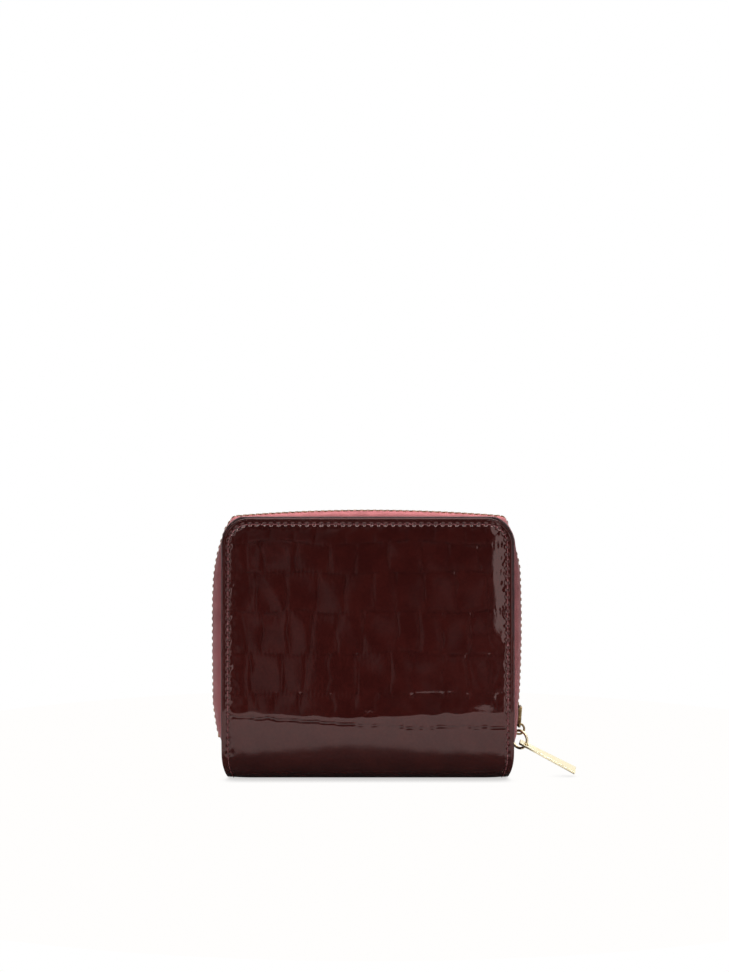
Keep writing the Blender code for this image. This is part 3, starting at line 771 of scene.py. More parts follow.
def cover_relief(side):
    """The relief of one cover's leather, as a function for folded_sheet."""
    seed = 11 if side == FRONT else 23
    holes_x, holes_s = stitch_marks(SEAM_INSET)
    swell = Waves(seed + 1, 44.0, 7)
    pucker = Waves(seed + 2, 9.0, 6)
    turn = SECTION_ANGLE[-1] - float(np.interp(SECTION_MARKS[1] + 1.0, SECTION_S, SECTION_ANGLE))

    def relief(x, s, edge):
        height = np.interp(s, SECTION_S, SECTION_Z)
        scales, groove_shade = crocodile(seed, x, s)
        bend, line = crease_marks(side, x)
        strength = 0.55 + 0.45 * smoothstep(x * -side, 5.0, 45.0)
        field = smoothstep(height - bend, 0.5, 4.0) * smoothstep(edge, 2.8, 4.6)
        lift = scales * strength * field
        groove_shade = groove_shade * field
        side_edge = HALF_WIDTH - np.abs(x)
        high = smoothstep(height, 50.0, 60.0)
        higher = smoothstep(height, 70.0, 85.0)
        drop = np.where(x * -side > 0, 0.3 + 0.45 * high, 0.3 + 0.15 * higher)
        lift -= drop * (1 - smoothstep(side_edge, 1.0, 10.5))
        lift -= 0.16 * (1 - smoothstep(SECTION_END - s, 1.0, 9.0))
        lift += 0.06 * swell(x, s) * smoothstep(edge, 3.0, 12.0) * smoothstep(height - bend, -1.0, 6.0)
        puckered = 0.03 + 0.03 * smoothstep(x * side, 20.0, 45.0)
        lift += puckered * pucker(x, s) * bell(edge - 3.6, 1.5)
        lift -= 0.1 * bell(edge - 0.72, 0.14)
        lift -= 0.07 * bell(edge - SEAM_INSET, 0.5)
        shift = bend_depth(bend - height, 0.45) - bend_depth(CREASE_HEIGHT - height, CREASE_SOFTNESS)
        lift -= turn * shift * smoothstep(height, 9.0, 18.0)
        across = smoothstep(edge, 2.6, 3.4)
        firm = smoothstep(x * side, -5.0, 12.0)
        sharp = 0.27 + 0.03 * firm + 0.03 * swell(x * 3.0)
        below = 0.2 + 0.2 * firm
        pressed = bell(height - line, 0.22) * across
        width = np.where(height > line, 0.13, below)
        lift -= sharp * bell(height - line, width) * across
        near = np.abs(edge - SEAM_INSET) < 2.0
        dip = np.zeros(int(near.sum()))
        near_x, near_s = x[near], s[near]
        for hole_x, hole_s in zip(holes_x, holes_s):
            close = (np.abs(near_x - hole_x) < 2.2) & (np.abs(near_s - hole_s) < 2.2)
            far = np.hypot(near_x[close] - hole_x, near_s[close] - hole_s)
            dip[close] = np.maximum(dip[close], 0.4 * bell(far, 0.7))
        lift[near] -= dip
        # second value: painted shade, strongest along the pressed line and a little more on one side,
        # plus the scale grooves
        return lift, np.maximum(groove_shade, 3.0 * pressed * (0.7 + 0.3 * firm))

    return relief


def cover_leather(side):
    """One side's leather from the middle of the foot to the top edge."""
    name = f"{WORDS[side]}_leather"
    obj = folded_sheet(
        name, side, 0.0, SECTION_END, HALF_WIDTH, CORNER, 0.0, LEATHER, PATENT,
        relief=cover_relief(side), coarse=0.5, fine=0.22,
    )
    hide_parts(f"{WORDS[side]}_cover", "spine_leather")
    bend_with(obj)


def tube(points, normals, radius, sides=6):
    """Ring points and faces of a closed tube along points, tapering at both ends."""
    points = np.asarray(points, float)
    count = len(points)
    tangents = np.gradient(points, axis=0)
    tangents /= np.linalg.norm(tangents, axis=1, keepdims=True)
    across = np.cross(tangents, normals)
    across /= np.linalg.norm(across, axis=1, keepdims=True)
    up = np.cross(across, tangents)
    angle = np.arange(sides) * math.tau / sides
    share = np.linspace(0, 1, count)
    swell = np.sqrt(np.clip(1 - np.abs(2 * share - 1) ** 6, 0.08, 1)) * radius
    rings = points[:, None] + swell[:, None, None] * (
        np.cos(angle)[None, :, None] * across[:, None] + np.sin(angle)[None, :, None] * up[:, None]
    )
    faces = []
    for i in range(count - 1):
        for k in range(sides):
            a, b = sides * i + k, sides * i + (k + 1) % sides
            faces.append((a, b, b + sides, a + sides))
    faces.append(tuple(range(sides))[::-1])
    faces.append(tuple(sides * (count - 1) + k for k in range(sides)))
    uv = np.stack(np.broadcast_arrays(share[:, None] * 0.2, angle[None, :] / math.tau), -1)
    return rings.reshape(-1, 3), faces, uv.reshape(-1, 2)


def joined(parts):
    """The points and faces of several meshes as those of one."""
    points, faces, start = [], [], 0
    for own_points, own_faces in parts:
        points.append(own_points)
        faces += [tuple(start + i for i in face) for face in own_faces]
        start += len(own_points)
    return np.concatenate(points), faces


def sewn(name, lines, normals, radius):
    """One seam of separate stitches, each a tube along its own line."""
    tubes = [tube(line, out, radius) for line, out in zip(lines, normals)]
    points, faces = joined([made[:2] for made in tubes])
    obj = mesh_object(name, points, faces, THREAD, np.concatenate([made[2] for made in tubes]))
    return face_out(obj)


def stitches(name, side, holes_x, holes_s, depth, radius, surface=None):
    """Separate stitches from hole to hole over a sheet at some depth, or over its relief."""
    t = np.linspace(0.05, 0.95, 9)
    x = holes_x[:-1, None] + np.diff(holes_x)[:, None] * t
    s = holes_s[:-1, None] + np.diff(holes_s)[:, None] * t
    lift = radius * (2.2 * np.sin(math.pi * t) ** 0.4 - 1.3) + np.zeros_like(x)
    if surface:
        lift = surface(x, s) + radius * (0.6 * np.sin(math.pi * t) + 0.1)
    lines, normals = [], []
    for row_x, row_s, row_lift in zip(x, s, lift):
        line = place(side, row_x, row_s, row_lift - depth)
        lines.append(line)
        normals.append(place(side, row_x, row_s, row_lift - depth + 1.0) - line)
    return sewn(name, lines, normals, radius)


def cover_stitches(side):
    word = WORDS[side]
    holes_x, holes_s = stitch_marks(SEAM_INSET)
    relief = cover_relief(side)

    def surface(x, s):
        return relief(x, s, edge_distance(x, s, SECTION_END, HALF_WIDTH, CORNER))[0]

    obj = stitches(f"{word}_seam", side, holes_x, holes_s, 0.0, COVER_STITCH, surface)
    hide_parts(f"{word}_stitching")
    bend_with(obj)


def rim_shade_bead(side):
    """A dark bead just past the leather's rim, which stands for the shaded gap between the rim and the
    tape: painted shade.
    """
    turn = np.linspace(0, math.pi / 2, 40)[1:]
    up = np.linspace(0.0, SECTION_END - CORNER, 160)
    turn_reach = SHADE_BEAD_SIDE + (SHADE_BEAD_TOP - SHADE_BEAD_SIDE) * np.sin(turn) ** 2
    reach = np.concatenate((np.full(len(up), SHADE_BEAD_SIDE), turn_reach)) - SHADE_BEAD_RADIUS
    side_x = half_width_at(up, SECTION_END + 2 * CORNER, HALF_WIDTH, CORNER)
    base_x = np.concatenate((side_x, HALF_WIDTH - CORNER + CORNER * np.cos(turn)))
    base_s = np.concatenate((up, SECTION_END - CORNER + CORNER * np.sin(turn)))
    aim = np.concatenate((np.zeros(len(up)), turn))
    x, s = base_x + reach * np.cos(aim), base_s + reach * np.sin(aim)
    x = np.concatenate((-x, (0.0,), x[::-1]))
    s = np.concatenate((s, s[-1:], s[::-1]))
    line = place(side, x, s, -SHADE_BEAD_DEPTH)
    out = place(side, x, s, 1.0 - SHADE_BEAD_DEPTH) - line
    points, faces, uv = tube(line, out, SHADE_BEAD_RADIUS, 10)
    uv[:, 0] *= 140
    # the bead is painted shade: a dark stand-in for the shadowed gap at the rim
    obj = mesh_object(f"{WORDS[side]}_rim_shade_bead", points, faces, RIM_SHADE_PAINT, uv)
    face_out(obj)
    bend_with(obj)


# ==== zip chain and tape ====


def catmull(points, steps):
    """A Catmull-Rom curve through points, as an array."""
    points = np.asarray(points, float)
    before, after = 2 * points[0] - points[1], 2 * points[-1] - points[-2]
    ends = np.concatenate((before[None], points, after[None]))
    made = []
    for a, b, c, d in zip(ends, ends[1:], ends[2:], ends[3:]):
        t = (np.arange(steps) / steps).reshape((-1,) + (1,) * (points.ndim - 1))
        square = (2 * a - 5 * b + 4 * c - d) * t**2 / 2
        cube = (3 * b - a - 3 * c + d) * t**3 / 2
        made.append(b + (c - a) * t / 2 + square + cube)
    return np.concatenate((*made, points[-1:]))


def side_arc(height):
    drop = height - SIDE_MIDDLE
    return SIDE_REACH - SIDE_RADIUS + np.sqrt(SIDE_RADIUS**2 - drop**2)


def rounded_corner(before, corner, after, radius, steps=10):
    """An arc that rounds the corner of two straight lines."""
    arrive = (corner - before) / np.linalg.norm(corner - before)
    leave = (after - corner) / np.linalg.norm(after - corner)
    turn = math.acos(float(arrive @ leave))
    start = corner - arrive * radius * math.tan(turn / 2)
    inward = leave - arrive * float(arrive @ leave)
    centre = start + inward / np.linalg.norm(inward) * radius
    angle = np.linspace(0, turn, steps)[:, None]
    return centre + (start - centre) * np.cos(angle) + arrive * radius * np.sin(angle)


def chain_line():
    """The chain's middle line as (x, z) from the left foot over the top to the right foot."""
    left = catmull(LEFT_SIDE, 12) * (-1, 1)
    heights = np.linspace(CHAIN_FOOT, SIDE_HEAD, 40)
    arc = np.stack((side_arc(heights), heights), -1)
    shoulder = catmull(np.vstack((arc[[-5, -1]], RIGHT_SHOULDER)), 8)[8:]
    right = np.vstack((arc[:-1], shoulder))
    corner_x, corner_z = CHAIN_CORNER
    share = np.linspace(-1, 1, 61)
    top = np.stack((share * corner_x, TOP_APEX - (TOP_APEX - corner_z) * share**2), -1)
    left_turn = rounded_corner(left[-1], top[0], top[1], CHAIN_CORNER_RADIUS)
    right_turn = rounded_corner(top[-2], top[-1], right[-1], CHAIN_CORNER_RADIUS)
    return np.vstack((left, left_turn, top[3:-3], right_turn, right[::-1]))


CHAIN = chain_line()
CHAIN_RUN = running(np.linalg.norm(np.diff(CHAIN, axis=0), axis=1))
CHAIN_LENGTH = float(CHAIN_RUN[-1])


def chain_point(marks):
    """Points (x, z) on the chain's middle line."""
    return np.stack([np.interp(marks, CHAIN_RUN, CHAIN[:, k]) for k in (0, 1)], -1)


def chain_at(marks):
    """Places on the chain and the direction away from the wallet's middle there."""
    probe = 0.3
    along = chain_point(marks + probe) - chain_point(marks - probe)
    along /= np.linalg.norm(along, axis=1, keepdims=True)
    out = np.stack((-along[:, 1], along[:, 0]), -1)
    return chain_point(marks), out


def edge_beside(place_xz, inset):
    """Points of the cover's outline, moved in by inset, that face points of the chain."""
    x, z = place_xz[:, 0], place_xz[:, 1]
    centre_x, centre_z = HALF_WIDTH - CORNER, COVER_TOP - CORNER
    away = np.stack((np.abs(x) - centre_x, z - centre_z), -1)
    away /= np.maximum(np.linalg.norm(away, axis=1, keepdims=True), 1e-9)
    round_x = centre_x + away[:, 0] * (CORNER - inset)
    round_z = centre_z + away[:, 1] * (CORNER - inset)
    beside, above = z <= centre_z, np.abs(x) <= centre_x
    edge_x = np.where(beside, HALF_WIDTH - inset, np.where(above, np.abs(x), round_x))
    edge_z = np.where(beside, z, np.where(above, COVER_TOP - inset, round_z))
    return np.stack((np.sign(x) * edge_x, edge_z), -1)


def cover_y(height):
    return np.interp(height, SECTION_Z, SECTION_Y)


def zip_tape(side):
    """The cloth strip from under the cover's edge to the teeth, curved in section."""
    word = WORDS[side]
    marks = np.linspace(0, CHAIN_LENGTH, 420)
    centre, out = chain_at(marks)
    depth = LEATHER + GAP + TAPE / 2
    pucker = Waves(40 + side, 13.0, 6)
    sections = []
    for inset in (TAPE_SEWN, 2.2, TAPE_TURN):
        edge = edge_beside(centre, inset)
        sections.append(np.column_stack((edge[:, 0], cover_y(edge[:, 1]) - depth, edge[:, 1])))
    edge_y = sections[-1][:, 1]
    for share, reach, rise in TAPE_BOW:
        flat = edge + (centre - edge) * share + out * rise
        y = edge_y + (TAPE_FLAT - edge_y) * reach
        sections.append(np.column_stack((flat[:, 0], y, flat[:, 1])))
    for y in (TAPE_FLAT, 3.6, 2.4, TAPE_EDGE):
        sections.append(np.column_stack((centre[:, 0], np.full(len(centre), y), centre[:, 1])))
    curve = catmull(np.stack(sections), 3)
    tuck = 1.9 * (1 - smoothstep(np.minimum(marks, CHAIN_LENGTH - marks), 0.0, 3.6))
    depth_share = np.linspace(0, 1, len(curve))[:, None]
    curve[:, :, 0] -= np.sign(centre[:, 0])[None, :] * tuck[None, :] * depth_share
    across = np.linspace(0, 1, len(curve))
    free = np.sin(math.pi * smoothstep(across, 0.2, 0.8)) * 0.1
    ripple = free[:, None] * pucker(marks)[None, :]
    curve[:, :, 0] += ripple * out[:, 0]
    curve[:, :, 2] += ripple * out[:, 1]
    curve[:, :, 1] *= side
    points = curve.transpose(1, 0, 2).reshape(-1, 3)
    faces = grid_faces(len(marks), len(curve), flip=side == FRONT)
    width = running(np.linalg.norm(np.diff(curve[:, 200], axis=0), axis=1))
    uv = np.stack(np.broadcast_arrays(marks[:, None], width[None, :]), -1) / 10.0
    obj = mesh_object(f"{word}_tape", points, faces, TAPE_CLOTH, uv.reshape(-1, 2))
    walls = obj.modifiers.new("thickness", "SOLIDIFY")
    walls.thickness = TAPE * MM
    walls.offset = 0.0
    bake_modifiers(obj)
    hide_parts(f"{word}_zip_tape")
    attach(obj, HALVES[side])


def tooth_mesh():
    """One tooth: x along the chain, y from the middle to the tape, z outward."""
    work = bmesh.new()
    left = [(-x, y, t) for x, y, t in reversed(TOOTH_HALF)]
    outline = [left[-1], *TOOTH_HALF, *left[:-1]]
    low = [work.verts.new((x, y, -t)) for x, y, t in outline]
    high = [work.verts.new((x, y, t)) for x, y, t in outline]
    count = len(outline)
    work.faces.new(low[::-1])
    work.faces.new(high)
    for i in range(count):
        j = (i + 1) % count
        work.faces.new((low[i], low[j], high[j], high[i]))
    bmesh.ops.recalc_face_normals(work, faces=work.faces)
    rim = [e for e in work.edges if len({v.co.z > 0 for v in e.verts}) == 1]
    bmesh.ops.bevel(work, geom=rim, offset=0.13, segments=2, affect="EDGES")
    bmesh.ops.triangulate(work, faces=[f for f in work.faces if len(f.verts) > 6])
    work.verts.index_update()
    points = np.array([v.co for v in work.verts])
    points[:, 1] *= TOOTH_END / TOOTH_HALF[-1][1]
    faces = [tuple(v.index for v in f.verts) for f in work.faces]
    work.free()
    return points, faces


def zip_teeth(side):
    """One row of separate metal teeth, clamped on the corded edge of its tape."""
    word = WORDS[side]
    shape, shape_faces = tooth_mesh()
    start = FIRST_TOOTH + (TOOTH_PITCH / 2 if side == BACK else 0.0)
    end = CHAIN_LENGTH - (SLIDER_HEIGHT - CHAIN_FOOT) + 1.0
    marks = np.arange(start, end, TOOTH_PITCH) + 0.4
    centre, out = chain_at(marks)
    teeth = []
    for spot, away in zip(centre, out):
        along = np.array((away[1], -away[0]))
        x = spot[0] + shape[:, 0] * along[0] + shape[:, 2] * away[0]
        z = spot[1] + shape[:, 0] * along[1] + shape[:, 2] * away[1]
        teeth.append((np.column_stack((x, side * shape[:, 1], z)), shape_faces))
    obj = mesh_object(f"{word}_teeth", *joined(teeth), BRASS, smooth=False)
    obj.data.shade_smooth()
    obj.data.set_sharp_from_angle(angle=math.radians(38))
    face_out(obj)
    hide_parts(f"{word}_zip_teeth")
    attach(obj, HALVES[side])


def tape_cord(side):
    """The corded edge of the tape that the teeth are clamped on."""
    word = WORDS[side]
    marks = np.linspace(0.0, CHAIN_LENGTH, 500)
    centre, out = chain_at(marks)
    y = np.full(len(marks), side * CORD_PLACE)
    line = np.column_stack((centre[:, 0], y, centre[:, 1]))
    normals = np.column_stack((out[:, 0], np.zeros(len(marks)), out[:, 1]))
    ring, quads, uv = tube(line, normals, CORD_RADIUS, 8)
    uv[:, 0] = np.repeat(marks, 8) / 10.0
    obj = mesh_object(f"{word}_tape_cord", ring, quads, TAPE_CLOTH, uv)
    face_out(obj)
    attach(obj, HALVES[side])


# ==== slider and pull ====


def slider_frame():
    """The slider's own axes in the world: X out from the chain, Z up along it."""
    lean = math.asin((SIDE_MIDDLE - SLIDER_HEIGHT) / SIDE_RADIUS)
    spot = Vector((float(side_arc(SLIDER_HEIGHT)), 0, SLIDER_HEIGHT))
    return Matrix.Translation(spot) @ Matrix.Rotation(lean, 4, "Y")


def ring_frame(bail):
    """The ring's own axes in the world: X across it, Z to its top, Y along its axis."""
    lean = Matrix.Rotation(-RING_LEAN, 4, "Y")
    twist = Matrix.Rotation(RING_TWIST - math.pi / 2, 4, "Z")
    drop = Matrix.Translation((0, 0, -RING_HANG - RING_RADIUS))
    return Matrix.Translation(bail) @ lean @ twist @ drop


def tab_frame(ring):
    """The tab's own axes in the world: X from its hole to its tip, Z along the hole."""
    spoke = Vector((math.sin(HOLD_ANGLE), 0, math.cos(HOLD_ANGLE)))
    wire = Vector((math.cos(HOLD_ANGLE), 0, -math.sin(HOLD_ANGLE)))
    along = Vector((math.cos(TAB_SLOPE), 0, -math.sin(TAB_SLOPE)))
    hole_axis = -(ring.to_3x3() @ wire)
    across = hole_axis.cross(along).normalized()
    placed = Matrix((along, across, along.cross(across))).transposed().to_4x4()
    placed.translation = ring @ (spoke * RING_RADIUS)
    return placed


def scaled(placed):
    """A placing matrix in millimetres, turned into one in metres."""
    made = placed.copy()
    made.translation = placed.translation * MM
    return made


def prism(outline, low, high, axis):
    """Points and faces of an outline, extruded along x or z."""
    count = len(outline)
    ends = [[(w, a, b) if axis == "x" else (a, b, w) for a, b in outline] for w in (low, high)]
    faces = [tuple(range(count))[::-1], tuple(range(count, 2 * count))]
    faces += [(i, (i + 1) % count, count + (i + 1) % count, count + i) for i in range(count)]
    return np.array(ends[0] + ends[1]), faces


def torus(radius, wire, around, section, centre=(0, 0, 0)):
    """Points and faces of a ring about the y axis."""
    turn = np.arange(around) * math.tau / around
    roll = np.arange(section) * math.tau / section
    reach = radius + wire * np.cos(roll)[None, :]
    x = reach * np.sin(turn)[:, None]
    z = reach * np.cos(turn)[:, None]
    y = np.broadcast_to(wire * np.sin(roll), x.shape)
    faces = []
    for i in range(around):
        for k in range(section):
            a, b = section * i + k, section * i + (k + 1) % section
            following = section * ((i + 1) % around)
            faces.append((a, b, following + (k + 1) % section, following + k))
    return np.stack((x, y, z), -1).reshape(-1, 3) + np.array(centre), faces


def soft_union(name, shapes, voxel, made_of, rounds=4):
    """One cast body from overlapping shapes, with its corners eased."""
    obj = face_out(mesh_object(name, *joined(shapes), made_of))
    skin = obj.modifiers.new("skin", "REMESH")
    skin.mode = "VOXEL"
    skin.voxel_size = voxel * MM
    skin.use_smooth_shade = True
    ease = obj.modifiers.new("ease", "SMOOTH")
    ease.factor = 0.5
    ease.iterations = rounds
    bake_modifiers(obj)
    obj.data.materials.clear()
    obj.data.materials.append(made_of)
    return obj


def slider_body(placed):
    """Cast slider: two plates with inturned lips, the post that joins them, and the bail."""
    foot = -SLIDER_LENGTH / 2
    head = SLIDER_LENGTH / 2
    wide = SLIDER_HALF_WIDTH
    plate = [(1.3, foot), (2.6, foot + 0.35), (wide - 0.2, foot + 1.3), (wide, foot + 2.4),
             (wide - 0.1, -0.9), (wide - 0.5, 0.4), (wide - 0.55, head - 0.5), (wide - 0.9, head)]
    plate = plate + [(-y, z) for y, z in reversed(plate)]
    crown = [(0.5, foot), (1.2, foot + 0.4), (1.35, -1.4), (0.9, head - 1.4), (0.4, head - 0.8)]
    crown = crown + [(-y, z) for y, z in reversed(crown)]
    post = [(0.0, foot + 0.25), (0.6, foot + 0.9), (0.0, foot + 2.1), (-0.6, foot + 0.9)]
    reach = CHANNEL_HALF + PLATE
    shapes = [
        prism(plate, CHANNEL_HALF, reach, "x"),
        prism(plate, -reach, -CHANNEL_HALF, "x"),
        prism(crown, reach - 0.3, reach + 0.12, "x"),
        prism(post, -reach + 0.2, reach - 0.2, "x"),
        torus(BAIL_RADIUS, BAIL_WIRE, 40, 14, (BAIL_PLACE[0], 0, BAIL_PLACE[1])),
    ]
    for side in (FRONT, BACK):
        lip = [(side * (wide - 0.8), foot + 1.5), (side * (wide - 0.35), foot + 1.5),
               (side * (wide - 0.5), head - 0.3), (side * (wide - 0.8), head - 0.3)]
        shapes.append(prism(lip, -reach + 0.2, -CHANNEL_HALF + 0.45, "x"))
        shapes.append(prism(lip, CHANNEL_HALF - 0.45, reach - 0.2, "x"))
    obj = soft_union("slider", shapes, 0.1, SLIDER_METAL)
    obj.data.transform(scaled(placed))
    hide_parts("slider_body")
    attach(obj, "zip_slider")


def pull_ring(placed):
    points, faces = torus(RING_RADIUS, RING_WIRE, 96, 20)
    obj = mesh_object("ring", points, faces, RING_GOLD)
    face_out(obj)
    obj.data.transform(scaled(placed))
    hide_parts("pull_ring")
    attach(obj, "pull_ring")


def pull_tab(placed):
    """The tapered bar, bevelled all round, with a round hole at its narrow end."""
    outline = [(-TAB_ROOT, -TAB_ROOT_HALF), (-TAB_ROOT, TAB_ROOT_HALF), (1.6, TAB_ROOT_HALF),
               (TAB_LENGTH, TAB_TIP_HALF), (TAB_LENGTH, -TAB_TIP_HALF), (1.6, -TAB_ROOT_HALF)]
    points, faces = prism(outline, -TAB_THICK / 2, TAB_THICK / 2, "z")
    bar = face_out(mesh_object("tab", points, faces, GOLD, smooth=False))
    turn = np.arange(40) * math.tau / 40
    circle = list(zip(TAB_HOLE * np.cos(turn), TAB_HOLE * np.sin(turn)))
    hole_points, hole_faces = prism(circle, -TAB_THICK, TAB_THICK, "z")
    hole = face_out(mesh_object("tab_hole", hole_points, hole_faces, GOLD))
    cut = bar.modifiers.new("hole", "BOOLEAN")
    cut.object = hole
    cut.solver = "EXACT"
    bake_modifiers(bar)
    bpy.data.objects.remove(hole)
    edges = bar.modifiers.new("edges", "BEVEL")
    edges.width = 0.16 * MM
    edges.segments = 3
    edges.limit_method = "ANGLE"
    edges.angle_limit = math.radians(30)
    bake_modifiers(bar)
    bar.data.shade_smooth()
    bar.data.set_sharp_from_angle(angle=math.radians(50))
    bar.data.transform(scaled(placed))
    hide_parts("pull_tab")
    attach(bar, "pull_tab")


# ==== inside ====


def pocket_relief(top, seed):
    """Relief of a pocket's leather: a turned top edge, a pressed line and a slight swell."""
    swell = Waves(seed, 30.0, 5)

    def relief(x, s, edge):
        hem = 0.16 * bell(top - s - 0.9, 0.8)
        press = -0.12 * bell(top - s - 2.7, 0.35)
        border = -0.08 * bell(edge - 1.2, 0.3) * smoothstep(top - s, 3.0, 5.0)
        return hem + press + border + 0.05 * swell(x, s) * smoothstep(edge, 1.0, 6.0), np.zeros_like(x)

    return relief


def inside_layers(side):
    """Lining, bill pocket and stepped card slots of one half."""
    word = WORDS[side]
    depth = LEATHER + BOARD + 2 * GAP
    top = at_height(COVER_TOP - LINING_INSET)
    lining = folded_sheet(
        f"{word}_lining_cloth", side, 0.0, top, HALF_WIDTH - LINING_INSET,
        CORNER - LINING_INSET, depth, LINING, LINING_CLOTH,
    )
    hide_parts(f"{word}_lining", "spine_lining")
    bend_with(lining)
    depth += LINING + GAP
    layers = [(f"{word}_bill_pocket", *BILL_POCKET)]
    for i, slot_top in enumerate(CARD_SLOT_TOPS, 1):
        layers.append((f"{word}_card_slot_{i}", CARD_SLOT_FOOT, slot_top, CARD_SLOT_HALF_WIDTH))
    for node, foot, top, half_width in layers:
        low, high = at_height(foot), at_height(top)
        sheet = folded_sheet(
            f"{node}_leather", side, low, high, half_width, POCKET_CORNER, depth, POCKET,
            POCKET_LEATHER, relief=pocket_relief(high, len(node) + side), coarse=1.2, inward=True,
        )
        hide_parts(node)
        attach(sheet, HALVES[side])
        reach = half_width - POCKET_CORNER
        count = int(2 * reach / STITCH_PITCH)
        holes_x = np.linspace(-reach, reach, count)
        holes_s = np.full(count, high - POCKET_SEAM_DROP)
        seam = stitches(f"{node}_seam", side, holes_x, holes_s, depth + POCKET, POCKET_STITCH)
        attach(seam, HALVES[side])
        depth += POCKET + GAP


def closed_grid(near, far, made_of, name, uv):
    """A closed solid between two grids of points of the same shape."""
    columns, rows = near.shape[:2]
    count = columns * rows
    faces = grid_faces(columns, rows) + grid_faces(columns, rows, count, flip=True)
    loop = perimeter(columns, rows)
    for i, here in enumerate(loop):
        following = loop[(i + 1) % len(loop)]
        faces.append((here, following, count + following, count + here))
    points = np.concatenate((near.reshape(-1, 3), far.reshape(-1, 3)))
    return face_out(mesh_object(name, points, faces, made_of, np.concatenate((uv, uv))))


def coin_pocket():
    """The pocket on the spine: two walls with turned tops, a base and two folded cloth ends."""
    across = np.linspace(-1, 1, 91)
    turn = COIN_CORNER * (1 - np.cos(np.linspace(0, math.pi / 2, 9)))
    straight = np.linspace(COIN_FOOT, COIN_TOP - COIN_CORNER, 74)[:-1]
    up = np.concatenate((straight, COIN_TOP - turn[::-1]))
    fall = np.clip(up - (COIN_TOP - COIN_CORNER), 0, COIN_CORNER)
    half = COIN_HALF_WIDTH - COIN_CORNER + np.sqrt(COIN_CORNER**2 - fall**2)
    x = across[:, None] * half[None, :]
    z = np.broadcast_to(up, x.shape)
    uv = np.stack((x.ravel(), z.ravel()), -1) / 10.0
    for side in (FRONT, BACK):
        word = WORDS[side]
        swell = Waves(60 + side, 34.0, 6)
        below = COIN_TOP - z
        lift = 0.18 * bell(below - 1.3, 1.0) - 0.12 * bell(below - 3.4, 0.35)
        inset = half[None, :] - np.abs(x)
        lift += 0.12 * swell(x, z) * smoothstep(inset, 2.0, 10.0) * smoothstep(below, 4.0, 14.0)
        lift -= 0.1 * bell(inset - 1.6, 0.35) * smoothstep(below, 4.0, 5.0)
        rim = np.minimum(np.minimum(inset, below), 0.25)
        lift -= 0.25 - np.sqrt(np.maximum(0.0625 - (0.25 - rim) ** 2, 0.0))
        near = np.stack((x, side * (COIN_HALF_DEPTH + COIN_WALL + lift), z), -1)
        far = np.stack((x, np.full_like(x, side * COIN_HALF_DEPTH), z), -1)
        wall = closed_grid(near, far, POCKET_LEATHER, f"coin_{word}_leather", uv)
        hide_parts(f"coin_pocket_{word}")
        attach(wall, "spine")
        seam = coin_seam(side)
        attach(seam, "spine")
    for word, side in (("left", -1), ("right", 1)):
        coin_gusset(word, side)
    eased_copy("coin_pocket_base", POCKET_LEATHER, 0.15)


def coin_seam(side):
    """Stitches down one end of a coin pocket wall, under its hem and up the other end."""
    x_end, top = COIN_HALF_WIDTH - 2.6, COIN_TOP - 3.4
    corners = [(-x_end, COIN_FOOT + 2), (-x_end, top), (x_end, top), (x_end, COIN_FOOT + 2)]
    marks = []
    for (x0, z0), (x1, z1) in zip(corners, corners[1:]):
        count = int(math.hypot(x1 - x0, z1 - z0) / STITCH_PITCH)
        share = np.arange(count) / count
        marks.append(np.stack((x0 + (x1 - x0) * share, z0 + (z1 - z0) * share), -1))
    marks = np.concatenate((*marks, [corners[-1]]))
    t = np.linspace(0.06, 0.94, 7)[:, None]
    rise = side * (COIN_HALF_DEPTH + COIN_WALL + 0.02 + 0.12 * np.sin(math.pi * t[:, 0]) ** 0.5)
    lines = []
    for first, second in zip(marks, marks[1:]):
        flat = first + (second - first) * t
        lines.append(np.column_stack((flat[:, 0], rise, flat[:, 1])))
    normals = np.tile((0.0, side, 0.0), (len(t), 1))
    return sewn(f"coin_{WORDS[side]}_seam", lines, [normals] * len(lines), COIN_STITCH)


def coin_gusset(word, side):
    """A folded cloth end of the coin pocket."""
    edge = COIN_HALF_DEPTH - 0.65
    fold = np.linspace(-1, 1, 25)
    up = np.linspace(COIN_FOOT + COIN_WALL + 0.4, COIN_TOP - 3.2, 60)
    y = np.broadcast_to((edge * fold)[:, None], (25, 60))
    z = np.broadcast_to(up, y.shape)
    ripple = Waves(80 + side, 12.0, 4)(z, y * 2.0)
    depth = GUSSET_FOLD * (1 - np.abs(fold)[:, None] ** 1.3) * (1 + 0.05 * ripple)
    x = side * (COIN_HALF_WIDTH - 1.1 - depth)
    near = np.stack((x, y, z), -1)
    far = near - (side * 0.35, 0, 0)
    uv = np.stack((y.ravel() * 2, z.ravel()), -1) / 10.0
    obj = closed_grid(near, far, LINING_CLOTH, f"coin_{word}_gusset", uv)
    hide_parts(f"coin_pocket_{word}_gusset")
    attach(obj, "spine")


def box_uv(mesh):
    """Lays a UV map in centimetres over a mesh, flat from the side that each face points to."""
    layer = mesh.uv_layers.new(name="UVMap") if not mesh.uv_layers else mesh.uv_layers[0]
    for face in mesh.polygons:
        axis = max(range(3), key=lambda k: abs(face.normal[k]))
        first, second = [k for k in range(3) if k != axis]
        for corner in face.loop_indices:
            spot = mesh.vertices[mesh.loops[corner].vertex_index].co
            layer.data[corner].uv = (spot[first] * 100.0, spot[second] * 100.0)


